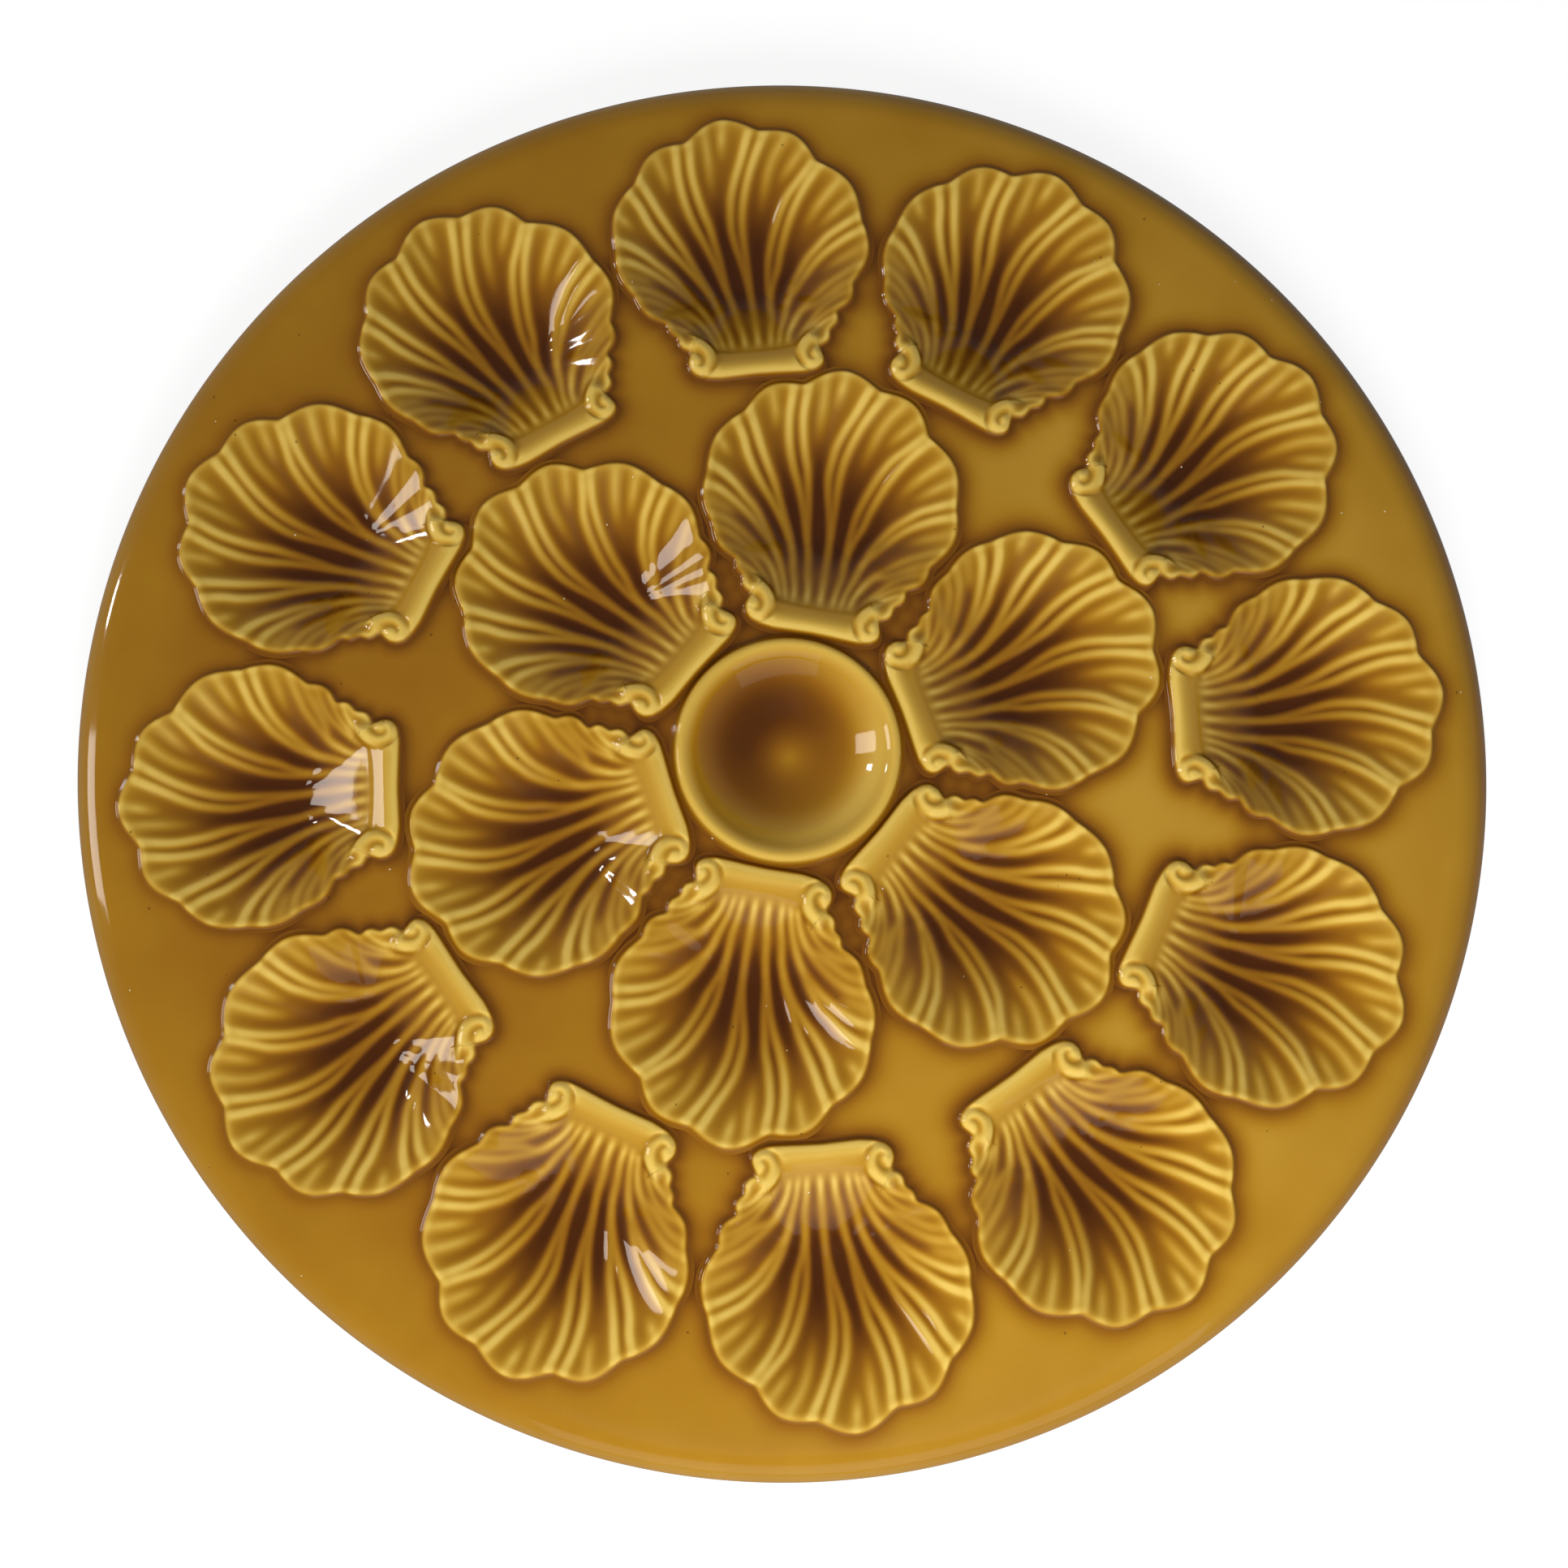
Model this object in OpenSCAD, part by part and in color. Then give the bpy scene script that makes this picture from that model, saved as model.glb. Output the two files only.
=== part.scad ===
// Round oyster platter in honey-glazed earthenware.
// Twelve shell-shaped wells stand round the rim, six more round a small sauce cup in the middle.
// Every shell is a fluted bowl that drops into a round seat in the plate, with its lip lying on the
// field and a roll with two scrolls along its hinge. A tall foot ring carries the plate.

/* [Plate] */
// Width of the bare border from the outer shells to the plate's edge
border_w = 12.5; // [10.5:0.5:30]
// Wall thickness of the plate
plate_t = 6; // [5:0.5:8]
// Height of the flat field above the table
field_z = 27; // [26:0.5:40]
// Outside radius of the shoulder that turns the rim down
shoulder_r = 12; // [10:0.5:14]
// Angle through which the shoulder turns down
shoulder_turn = 55; // [40:1:65]

/* [Foot ring] */
// Clearance from the ring to the bowls on either side of it
foot_gap = 4.05; // [3:0.05:6]
// Width of the ring's wall
foot_w = 5; // [4:0.25:8]
// Radius that rounds the standing edge
foot_round = 1.25; // [0.5:0.25:1.75]

/* [Sauce cup] */
// Clearance from the cup's lip to the inner hinges
cup_gap = 2.1; // [1:0.1:4]
// Width of the rounded lip
cup_lip_w = 3.6; // [3:0.1:5]
// Height of the lip above the field
cup_lip_h = 3.5; // [2.5:0.25:5]
// Depth of the cup below the field
cup_depth = 10; // [8:0.5:16]
// Wall thickness at the bottom of the cup
cup_wall = 5; // [3:0.5:6]
// Width of the lip that lies on the field round the cup's seat
cup_flange = 2.5; // [1.5:0.1:3]

/* [Shells] */
// Clearance between the scrolls of neighbouring inner shells
inner_gap = 2; // [1:0.1:6]
// Height of a shell's lip above the field
lip_h = 3; // [2:0.25:4]
// Width of the lip's sloped outer side
lip_run = 1.2; // [0.8:0.1:1.6]
// Height of the brim where the well begins
brim_h = 1.2; // [0.8:0.1:1.6]
// Depth of the well below the field
well_depth = 13.5; // [10:0.5:14]
// Wall thickness under the well
well_wall = 5; // [4:0.5:6]
// Power that shapes the well: higher is flatter in the middle
well_power = 2.1; // [1.6:0.1:2.6]
// Height of the ribs
rib_h = 0.9; // [0.4:0.1:1.2]
// Depth of the flutes between the ribs
flute_d = 1.1; // [0.4:0.1:1.4]
// Narrowest width of the flange that lies on the field round a bowl's seat
flange_w = 1.65; // [1.3:0.05:2.2]
// Clearance of a bowl or the cup in its seat
seat_gap = 0.3; // [0.2:0.05:0.5]

/* [Hinge scrolls] */
// Radius of a scroll's base
scroll_r = 3.5; // [3.3:0.1:3.6]
// Radius of the strand that curls into a scroll
strand_r = 1.05; // [0.8:0.05:1.1]
// Radius of the arc that leads a strand in from the shell's side
lead_r = 8; // [6:0.5:10]
// Angle of that arc
lead_turn = 40; // [20:5:45]
// Radius of the roll between the scrolls
roll_r = 2.4; // [1.8:0.1:2.6]

/* [Hidden] */
OUTER = 12;
INNER = 6;
// Own turn of each shell, set by hand when it was luted on
outer_turn = [1.5, -2.5, 1, -1.5, 1.5, 2, 0.5, 0.5, 1.5, -2.5, -0.5, -4.5];
inner_turn = [0.5, 1, 1, 0, -0.5, 0];
seat_c = [0, 4.5];
deep_c = [0, -2];
left_scroll = [-15.3, -30];
right_scroll = [15.6, -30.4];
roll_drop = 0.9;
scroll_run = 0.4;
// Distance of a strand from the edge of its scroll's base
strand_inset = 0.1;
// Clearance of the innermost curl from the axis that it turns about
eye_gap = 0.125;
twin = 0.13;
under_sides = 20;
arc_steps = 4;

// One line for each groove from the hinge to a notch of the rim: hinge end, bend, rim end
grooves = [
    [[-17.5, -25], [-17.5, -25], [-17.5, -25]],
    [[-12.5, -26], [-15, -21.5], [-20.5, -20.5]],
    [[-11, -25.5], [-13.5, -16.5], [-23, -16.5]],
    [[-9.5, -25.5], [-15, -7], [-31, -8]],
    [[-7.5, -25.5], [-14, 3], [-35, 6.5]],
    [[-5, -25.5], [-9, -2], [-27.5, 25]],
    [[-2, -25.5], [-7, 5], [-12.5, 35]],
    [[1.5, -25.5], [-4, 12], [8.5, 36.5]],
    [[4.5, -25.5], [5, 6], [23.5, 26]],
    [[7, -25.5], [11, 1], [34, 8]],
    [[9.5, -25.5], [14, -11], [29.5, -10]],
    [[11.5, -26], [14, -18.5], [24, -17.5]],
    [[13.5, -26.5], [16, -23.5], [21.5, -22.5]],
    [[18.5, -27.5], [18.5, -27.5], [18.5, -27.5]]
];
LAST = len(grooves) - 1;
// How far each lobe of the rim swells out between two notches
swell = [1.2, 1, 1.8, 1.8, 3.1, 3.6, 4.9, 3.8, 3.7, 3.2, 2, 1.4, 1.4];
// First and last groove that carry a twin rib
FIRST_RIB = 3;
LAST_RIB = 10;

// The sizes of the platter follow from the shells and the clearances between its pieces
seat_r = min([for (g = grooves) norm(g[2] - seat_c)]) - flange_w;
bowl_r = seat_r - seat_gap;
hinge_reach = scroll_r - min(left_scroll[1], right_scroll[1]);
shell_reach = max([for (t = [0 : 0.1 : LAST]) rim_at(t)[1]]);
scroll_reach = right_scroll[0] + scroll_r;
half_turn = 180 / INNER;
inner_ring_r = (scroll_reach * cos(half_turn) + inner_gap / 2) / sin(half_turn) - right_scroll[1];
outer_ring_r = inner_ring_r + 2 * bowl_r + 2 * foot_gap + foot_w;
foot_r = (inner_ring_r + outer_ring_r) / 2 + seat_c[1];
plate_r = outer_ring_r + shell_reach + border_w;
cup_r = inner_ring_r - hinge_reach - cup_gap;
cup_seat_r = cup_r - cup_flange;

function two(n) = n < 10 ? str("0", n) : str(n);
function outer_name(n) = str("outer_shell_", two(n));
function inner_name(n) = str("inner_shell_", two(n));

function outer_angle(n) = 90 - 360 / OUTER * (n - 1);
function inner_angle(n) = 90 - 180 / OUTER - 360 / INNER * (n - 1);

// Moves what follows from a shell's own frame to its place on the platter
module on_ring(angle, radius, turn) {
    rotate([0, 0, angle - 90]) translate([0, radius, field_z]) rotate([0, 0, turn]) children();
}

module each_shell_place() {
    for (n = [1 : OUTER]) on_ring(outer_angle(n), outer_ring_r, outer_turn[n - 1]) children();
    for (n = [1 : INNER]) on_ring(inner_angle(n), inner_ring_r, inner_turn[n - 1]) children();
}

// Plane geometry of a shell

function mix(a, b, f) = a + (b - a) * f;
function is_rib(k) = k >= FIRST_RIB && k <= LAST_RIB;
function is_strand(t) = t < 2 || t > LAST - 2;

// A place on the rim: t counts the notches, and lobes swell between them
function rim_at(t) = let (
        k = min(floor(t), LAST - 1),
        f = t - k,
        a = grooves[k][2],
        b = grooves[k + 1][2],
        d = (b - a) / norm(b - a)
    ) mix(a, b, f) + [-d[1], d[0]] * swell[k] * sin(180 * f);
function line_at(t, i) = let (k = min(floor(t), LAST - 1)) mix(grooves[k][i], grooves[k + 1][i], t - k);
function inset(p, run) = p - run * (p - seat_c) / norm(p - seat_c);
function crest_at(t) = inset(rim_at(t), is_strand(t) ? scroll_run : lip_run);

// A place on the shell: v runs from 0 at the hinge to 1 at the lip
function place(t, v) = let (e = crest_at(t))
    t == 0 || t == LAST ? e
    : (1 - v) * (1 - v) * line_at(t, 0) + 2 * v * (1 - v) * line_at(t, 1) + v * v * e;

// Where a line crosses the edge of the well, searched between v = a inside it and v = b outside
function in_well(p) = norm(p - seat_c) < bowl_r;
function cross(t, a, b, tries = 10) = let (m = (a + b) / 2)
    tries == 0 || !in_well(place(t, a)) ? m
    : in_well(place(t, m)) ? cross(t, m, b, tries - 1) : cross(t, a, m, tries - 1);

// Stations along a line: -1 at the hinge, 0 to 1 across the well, 2 at the lip
function v_at(t, w) = w < 0 ? 0 : w > 1 ? 1 : mix(cross(t, 0.5, 0), cross(t, 0.5, 1), w);

// Height of the plain well: a bowl with its deepest place towards the hinge
function well_z(p) = let (
        e = p - deep_c,
        n = max(norm(e), 0.001),
        u = e / n,
        f = deep_c - seat_c,
        b = f * u,
        s = n / (sqrt(b * b - f * f + bowl_r * bowl_r) - b)
    ) s < 1 ? -well_depth + (well_depth + brim_h) * pow(s, well_power)
    : mix(brim_h, lip_h, min(1, (s - 1) * 5));

// Relief across a lobe: twin ribs beside each groove, a flute between, a strand on the side bumps
function relief(t, w) = let (
        f = t - floor(t),
        d = min(f, 1 - f),
        rib = rib_h * lookup(w, [[0, 0], [0.22, 1], [1, 0.9], [2, 0.3]]),
        flute = -flute_d * lookup(w, [[0, 0], [0.22, 1], [0.78, 1], [1, 0.4], [2, 0.3]]),
        split = rib * lookup(w, [[0.3, 1], [0.7, 0.3]])
    ) is_strand(t) ? mix(flute, rib, 2 * d)
    : is_rib(round(t)) ? lookup(d, [[0, split], [twin, rib], [0.3, 0.6 * flute], [0.5, flute]])
    : lookup(d, [[0, 0.6 * flute], [0.5, flute]]);
function shell_z(t, w) = w <= 0 || t == 0 || t == LAST ? brim_h
    : w > 1 ? lip_h + relief(t, w) : well_z(place(t, v_at(t, w))) + relief(t, w);
function on_shell(t, w) = let (p = place(t, v_at(t, w))) [p[0], p[1], shell_z(t, w)];

// Columns that a row of points uses, from the left scroll to the right one
function columns(fine, twins) = [
    for (k = [0 : LAST - 1]) each concat(
        [k],
        twins && is_rib(k) ? [k + twin] : [],
        fine && swell[k] > 1.9 ? [k + 0.3, k + 0.5, k + 0.7] : [k + 0.5],
        twins && is_rib(k + 1) ? [k + 1 - twin] : []
    ),
    LAST
];
rim_columns = columns(true, true);
notches = [for (k = [0 : LAST]) k];
ROWS = [
    [2, rim_columns],
    [1, rim_columns],
    [0.78, columns(false, true)],
    [0.5, columns(false, false)],
    [0.22, columns(false, false)],
    [0, notches],
    [-1, notches]
];

// Edge of the hinge from the right scroll round the back to the left one
function arc(c, r, a, b) = [for (i = [0 : arc_steps]) let (g = mix(a, b, i / arc_steps)) c + r * [cos(g), sin(g)]];
hinge_edge = concat(arc(right_scroll, scroll_r, 25, -90), arc(left_scroll, scroll_r, -90, -205));

// Closed outline on the field and the same outline at the top of the lip
rim_line = [for (t = rim_columns) rim_at(t)];
foot_line = concat(rim_line, hinge_edge);

// Solid of a shell: rows of points joined by strips of triangles

// Clockwise angle round the seat from the left scroll
start_angle = atan2(rim_line[0][1] - seat_c[1], rim_line[0][0] - seat_c[0]);
function bearing(p) = let (a = start_angle - atan2(p[1] - seat_c[1], p[0] - seat_c[0])) a < -0.001 ? a + 360 : a;

// Strip between two lines of point numbers, matched by the lines' own scales
function strip(a, at, b, bt, i = 0, j = 0) =
    i == len(a) - 1 && j == len(b) - 1 ? []
    : j == len(b) - 1 || (i < len(a) - 1 && at[i] + at[i + 1] <= bt[j] + bt[j + 1])
        ? concat([[a[i], a[i + 1], b[j]]], strip(a, at, b, bt, i + 1, j))
        : concat([[a[i], b[j + 1], b[j]]], strip(a, at, b, bt, i, j + 1));
function span(first, count) = [for (i = [0 : count - 1]) first + i];
function closed(list, add) = concat(list, [list[0] + add]);
function total(list, n) = n == 0 ? 0 : list[n - 1] + total(list, n - 1);

// Points: the two scroll corners first, then the rows, the hinge edge, the foot line and the bowl
corners = [on_shell(0, 2), on_shell(LAST, 2)];
row_points = [for (row = ROWS) [for (i = [1 : len(row[1]) - 2]) on_shell(row[1][i], row[0])]];
row_sizes = [for (r = row_points) len(r)];
edge_points = [for (p = hinge_edge) let (q = inset(p, scroll_run)) [q[0], q[1], brim_h]];
foot_points = [for (p = foot_line) [p[0], p[1], 0]];
bowl_depth = well_depth + well_wall;
bowl_rings = [[1, 0], [1, -plate_t], [0.84, mix(-plate_t, -bowl_depth, 0.5)], [0.5, mix(-plate_t, -bowl_depth, 0.88)]];
function ring_points(share, z) = [
    for (i = [0 : under_sides - 1]) let (g = start_angle - 360 * (i + 0.5) / under_sides)
        [seat_c[0] + share * bowl_r * cos(g), seat_c[1] + share * bowl_r * sin(g), z]
];
bowl_points = [for (r = bowl_rings) each ring_points(r[0], r[1])];
bottom_point = [seat_c[0], seat_c[1], -bowl_depth];

FIRST_EDGE = 2 + total(row_sizes, len(ROWS));
FIRST_FOOT = FIRST_EDGE + len(edge_points);
FIRST_BOWL = FIRST_FOOT + len(foot_points);
BOTTOM = FIRST_BOWL + len(bowl_points);
shell_points = concat(corners, [for (r = row_points) each r], edge_points, foot_points, bowl_points, [bottom_point]);

function row_line(n) = concat([0], span(2 + total(row_sizes, n), row_sizes[n]), [1]);
hinge_line = row_line(len(ROWS) - 1);
hinge_row = [for (i = [1 : len(hinge_line) - 2]) hinge_line[i]];
edge_line = span(FIRST_EDGE, len(edge_points));
right_side = concat([for (i = [arc_steps : -1 : 0]) edge_line[i]], [1]);
left_side = concat([0], [for (i = [len(edge_line) - 1 : -1 : arc_steps + 1]) edge_line[i]]);
function fan(hub, line) = [for (i = [0 : len(line) - 2]) [hub, line[i + 1], line[i]]];
function x_of(line) = [for (n = line) shell_points[n][0]];
back_edge = [left_side[len(left_side) - 1], right_side[0]];

top_loop = closed(concat(row_line(0), edge_line), 0);
foot_loop = closed(span(FIRST_FOOT, len(foot_points)), 0);
foot_scale = closed([for (p = foot_points) bearing(p)], 360);
function bowl_loop(n) = closed(span(FIRST_BOWL + n * under_sides, under_sides), 0);
bowl_scale = [for (i = [0 : under_sides]) 360 * (i + 0.5) / under_sides];
last_ring = bowl_loop(len(bowl_rings) - 1);
all_faces = concat(
    [for (n = [0 : len(ROWS) - 2]) each strip(row_line(n), ROWS[n][1], row_line(n + 1), ROWS[n + 1][1])],
    fan(hinge_row[0], left_side),
    strip(hinge_row, x_of(hinge_row), back_edge, x_of(back_edge)),
    fan(hinge_row[len(hinge_row) - 1], right_side),
    strip(foot_loop, span(0, len(foot_loop)), top_loop, span(0, len(top_loop))),
    strip(bowl_loop(0), bowl_scale, foot_loop, foot_scale),
    [for (n = [1 : len(bowl_rings) - 1]) each strip(bowl_loop(n), bowl_scale, bowl_loop(n - 1), bowl_scale)],
    fan(BOTTOM, last_ring)
);
// All rows end at the same two corners, so the strips' first and last triangles there are empty
shell_faces = [for (f = all_faces) if (f[0] != f[1] && f[1] != f[2] && f[2] != f[0]) f];

// Scroll at the left end of a hinge: a strand that curls in twice to a round eye
module scroll() {
    turn_r = scroll_r - strand_r - strand_inset;
    curl_r = turn_r / 2;
    rotate([0, 0, 180]) strand(turn_r, 180, strand_r);
    translate([curl_r - turn_r, 0, 0]) strand(curl_r, 180, curl_r - eye_gap);
    translate([turn_r - lead_r, 0, 0]) strand(lead_r, lead_turn, strand_r);
    translate([0, 0, -strand_r]) cylinder(h = 2 * strand_r, r = strand_r, $fn = 32);
}

module strand(radius, angle, half_w) {
    rotate_extrude(angle = angle, $fn = 48) translate([radius, 0]) circle(r = half_w, $fn = 24);
}

// Roll along the back of a hinge, from scroll to scroll
module roll() {
    a = left_scroll - [0, roll_drop];
    b = right_scroll - [0, roll_drop];
    slope = atan2(b[1] - a[1], b[0] - a[0]);
    reach = scroll_r - strand_r;
    translate([a[0], a[1], 0]) rotate([0, 0, slope]) translate([reach, 0, 0]) rotate([90, 0, 90])
        linear_extrude(height = norm(b - a) - 2 * reach) intersection() {
            circle(r = roll_r, $fn = 32);
            translate([-roll_r, -brim_h / 2]) square(2 * roll_r);
        }
}

module shell() {
    color([0.80, 0.62, 0.24]) union() {
        polyhedron(shell_points, shell_faces);
        translate([left_scroll[0], left_scroll[1], brim_h]) scroll();
        translate([right_scroll[0], right_scroll[1], brim_h]) mirror([1, 0, 0]) scroll();
        translate([0, 0, brim_h]) roll();
    }
}

module outer_shell(n) {
    on_ring(outer_angle(n), outer_ring_r, outer_turn[n - 1]) shell();
}

module inner_shell(n) {
    on_ring(inner_angle(n), inner_ring_r, inner_turn[n - 1]) shell();
}

// Plate: flat field, shoulder turned down to a round edge, and a seat for every bowl

module plate_profile() {
    middle_r = shoulder_r - plate_t / 2;
    edge_r = plate_t / 2;
    shoulder_x = plate_r - edge_r - middle_r * sin(shoulder_turn);
    translate([0, field_z - plate_t]) square([shoulder_x, plate_t]);
    translate([shoulder_x, field_z - shoulder_r]) {
        intersection() {
            difference() {
                circle(r = shoulder_r, $fn = 96);
                circle(r = shoulder_r - plate_t, $fn = 96);
            }
            polygon([[0, 0], [0, 2 * shoulder_r], 2 * shoulder_r * [tan(shoulder_turn), 1]]);
        }
        translate(middle_r * [sin(shoulder_turn), cos(shoulder_turn)]) circle(r = edge_r, $fn = 48);
    }
}

module plate() {
    color([0.68, 0.47, 0.12]) difference() {
        rotate_extrude($fn = 180) plate_profile();
        each_shell_place() translate([seat_c[0], seat_c[1], -2 * plate_t]) cylinder(h = 4 * plate_t, r = seat_r, $fn = 64);
        translate([0, 0, field_z - 2 * plate_t]) cylinder(h = 4 * plate_t, r = cup_seat_r, $fn = 64);
    }
}

// Foot ring: stands between the two rings of bowls
module foot_ring() {
    height = field_z - plate_t;
    color([0.60, 0.42, 0.12]) rotate_extrude($fn = 144) translate([foot_r - foot_w / 2, 0]) {
        translate([0, foot_round]) square([foot_w, height - foot_round]);
        translate([foot_round, 0]) square([foot_w - 2 * foot_round, foot_round]);
        for (x = [foot_round, foot_w - foot_round]) translate([x, foot_round]) circle(r = foot_round, $fn = 24);
    }
}

module sauce_cup() {
    lip_mid = cup_lip_w / 2;
    mouth_r = cup_r - cup_lip_w;
    // Round hollow that is mouth_r wide at the middle of the lip
    hollow_d = cup_depth + cup_lip_h - lip_mid;
    hollow_r = (mouth_r * mouth_r + hollow_d * hollow_d) / (2 * hollow_d);
    color([0.74, 0.54, 0.16]) translate([0, 0, field_z]) rotate_extrude($fn = 96) difference() {
        union() {
            translate([mouth_r - lip_mid, 0]) square([lip_mid + cup_lip_w, cup_lip_h - lip_mid]);
            intersection() {
                translate([cup_r - lip_mid, cup_lip_h - lip_mid]) circle(r = lip_mid, $fn = 32);
                square([plate_r, cup_lip_h]);
            }
            intersection() {
                translate([0, hollow_r - cup_depth]) circle(r = hollow_r + cup_wall, $fn = 96);
                translate([0, -cup_depth - cup_wall]) square([cup_seat_r - seat_gap, cup_depth + cup_wall]);
            }
        }
        translate([0, hollow_r - cup_depth]) circle(r = hollow_r, $fn = 96);
        translate([-plate_r, -plate_r]) square([plate_r, 2 * plate_r]);
    }
}

plate();
foot_ring();
sauce_cup();
for (n = [1 : OUTER]) {
    outer_shell(n);
}
for (n = [1 : INNER]) {
    inner_shell(n);
}
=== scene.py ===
# %% [markdown]
# # A honey-glazed oyster platter
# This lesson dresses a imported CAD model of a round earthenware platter: a plate on a foot ring, a
# sauce cup in the middle and eighteen fluted shells. The CAD says where each piece is and how large.
# Blender adds what the potter's mould and the kiln add: twin ribs, scrolls, and a glaze that is thick
# and brown in every hollow and thin and yellow on every edge.

# %% Load the frame
import math

import bpy
import numpy as np
from mathutils import Matrix, Vector


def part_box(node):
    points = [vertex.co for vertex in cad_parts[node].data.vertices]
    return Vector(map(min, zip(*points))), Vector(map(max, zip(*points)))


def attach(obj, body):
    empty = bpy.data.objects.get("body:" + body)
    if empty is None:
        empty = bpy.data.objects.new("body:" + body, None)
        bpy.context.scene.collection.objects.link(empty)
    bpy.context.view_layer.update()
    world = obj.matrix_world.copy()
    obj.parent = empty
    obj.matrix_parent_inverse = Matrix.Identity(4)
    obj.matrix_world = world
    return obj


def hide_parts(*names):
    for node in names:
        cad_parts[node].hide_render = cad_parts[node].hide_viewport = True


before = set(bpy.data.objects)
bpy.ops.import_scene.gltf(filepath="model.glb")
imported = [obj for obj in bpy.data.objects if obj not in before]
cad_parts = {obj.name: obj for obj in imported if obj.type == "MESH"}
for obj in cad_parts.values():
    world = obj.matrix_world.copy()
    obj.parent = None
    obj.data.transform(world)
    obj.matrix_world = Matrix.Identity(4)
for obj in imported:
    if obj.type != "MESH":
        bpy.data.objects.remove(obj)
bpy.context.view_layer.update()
MM = 0.001
field_z = 27.0  # the flat field of the plate above the table, in mm

# %% [markdown]
# ## Camera
# The photograph was taken by hand from almost straight above. Its lens and place follow from the
# ellipse that the round rim makes in the picture and from the spot where the cup's centre lands, so
# the numbers below are a measurement, not a guess. The lens is 44.7 mm on a 36 mm wide sensor.

# %% Camera above the platter
def add_object(name, data):
    made = bpy.data.objects.new(name, data)
    bpy.context.scene.collection.objects.link(made)
    return made


camera_data = bpy.data.cameras.new("overhead_camera")
camera_data.sensor_width = 36.0
camera_data.lens = 44.72
camera = add_object("overhead_camera", camera_data)
camera_spot = (-0.0183, -0.0708, 0.5417)
lean_back, lean_aside, platter_turn = -0.122, 0.0212, math.radians(-5.1)
lean = Matrix.Rotation(lean_back, 3, "X") @ Matrix.Rotation(lean_aside, 3, "Y")
turn = Matrix.Rotation(platter_turn, 3, "Z")
camera.matrix_world = Matrix.Translation(camera_spot) @ (turn @ lean.transposed()).to_4x4()
bpy.context.scene.camera = camera
print("camera height in mm:", round(camera.location.z / MM))

# %% [markdown]
# ## A shell's outline
# All eighteen shells come from one mould, so one mesh serves them all. Its outline is a row of notches
# joined by round lobes, close to those of the CAD shell, and then the edge of the hinge with a round
# bulge at each end for the scrolls. A little smoothing along the line rounds the notches the way glaze
# does. All shell sizes are in millimetres, with the hinge towards -Y.

# %% Outline of a shell
notches = [(-17.5, -25), (-20.5, -20.5), (-23, -16.5), (-31, -8), (-35, 6.5), (-27.5, 25), (-12.5, 35),
           (8.5, 36.5), (23.5, 26), (34, 8), (29.5, -10), (24, -17.5), (21.5, -22.5), (18, -27)]
lobe_swell = [1.2, 1, 1.8, 1.8, 3.1, 3.6, 4.9, 3.8, 3.7, 3.2, 2, 1.4, 1.4]
hinge_edge = [(18.6, -28.9), (19, -30.5), (18.5, -32.3), (16.7, -33.6), (13.6, -34.1), (9.7, -34),
              (4.8, -33.7), (0, -33.5), (-4.8, -33.6), (-9.7, -33.7), (-13.6, -33.1), (-16.5, -32.1),
              (-18.1, -30.4), (-18.6, -28), (-18, -26.3)]
lobe_points = 24
outline_step, outline_spread = 0.3, 2.2


def lobed_rim():
    """Points from notch to notch, swollen outwards between them."""
    points = []
    for a, b, swell in zip(notches[:-1], notches[1:], lobe_swell):
        a, b = np.array(a), np.array(b)
        out = np.array([a[1] - b[1], b[0] - a[0]]) / np.linalg.norm(b - a)
        for f in np.linspace(0, 1, lobe_points, endpoint=False):
            points.append(a + (b - a) * f + out * swell * math.sin(math.pi * f))
    return np.array(points + [notches[-1]])


def even_loop(points, step):
    """The same closed line with evenly spaced points."""
    loop = np.vstack([points, points[:1]])
    along = np.r_[0, np.cumsum(np.linalg.norm(np.diff(loop, axis=0), axis=1))]
    count = int(along[-1] / step)
    at = np.linspace(0, along[-1], count, endpoint=False)
    return np.c_[np.interp(at, along, loop[:, 0]), np.interp(at, along, loop[:, 1])]


def soften_loop(values, spread):
    """Smooth the values of a closed line; spread is counted in points."""
    reach = int(3 * spread) + 1
    taps = np.exp(-0.5 * (np.arange(-reach, reach + 1) / spread) ** 2)
    wrapped = np.concatenate([values[-reach:], values, values[:reach]])
    return np.convolve(wrapped, taps / taps.sum(), mode="valid")


rim = lobed_rim()
outline = even_loop(np.vstack([rim, hinge_edge]), outline_step)
outline = np.c_[soften_loop(outline[:, 0], outline_spread), soften_loop(outline[:, 1], outline_spread)]
print("outline of a shell: %d points, %.1f by %.1f mm" % (len(outline), *np.ptp(outline, axis=0)))

# %% [markdown]
# ## Distances
# Ribs, scrolls and lips are all ridges along a line, so the sculpting needs one tool: how far is a point
# from a line, and how far along the line is the nearest place? NumPy answers that for every point at
# once, which is why the relief is computed as heights and not pushed about with sculpt brushes.

# %% Distance to a line
def smooth_line(points, step=0.7):
    """A smooth curve through the points, with a new point at every step."""
    p = np.array(points, float)
    along = np.r_[0, np.cumsum(np.linalg.norm(np.diff(p, axis=0), axis=1))]
    slopes = np.gradient(p, along, axis=0)
    fine = np.linspace(0, along[-1], max(3, int(along[-1] / step)))
    i = np.clip(np.searchsorted(along, fine, side="right") - 1, 0, len(p) - 2)
    h = (along[i + 1] - along[i])[:, None]
    t = (fine - along[i])[:, None] / h
    return ((1 + 2 * t) * (1 - t) ** 2 * p[i] + t * (1 - t) ** 2 * h * slopes[i]
            + t * t * (3 - 2 * t) * p[i + 1] + t * t * (t - 1) * h * slopes[i + 1])


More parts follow.
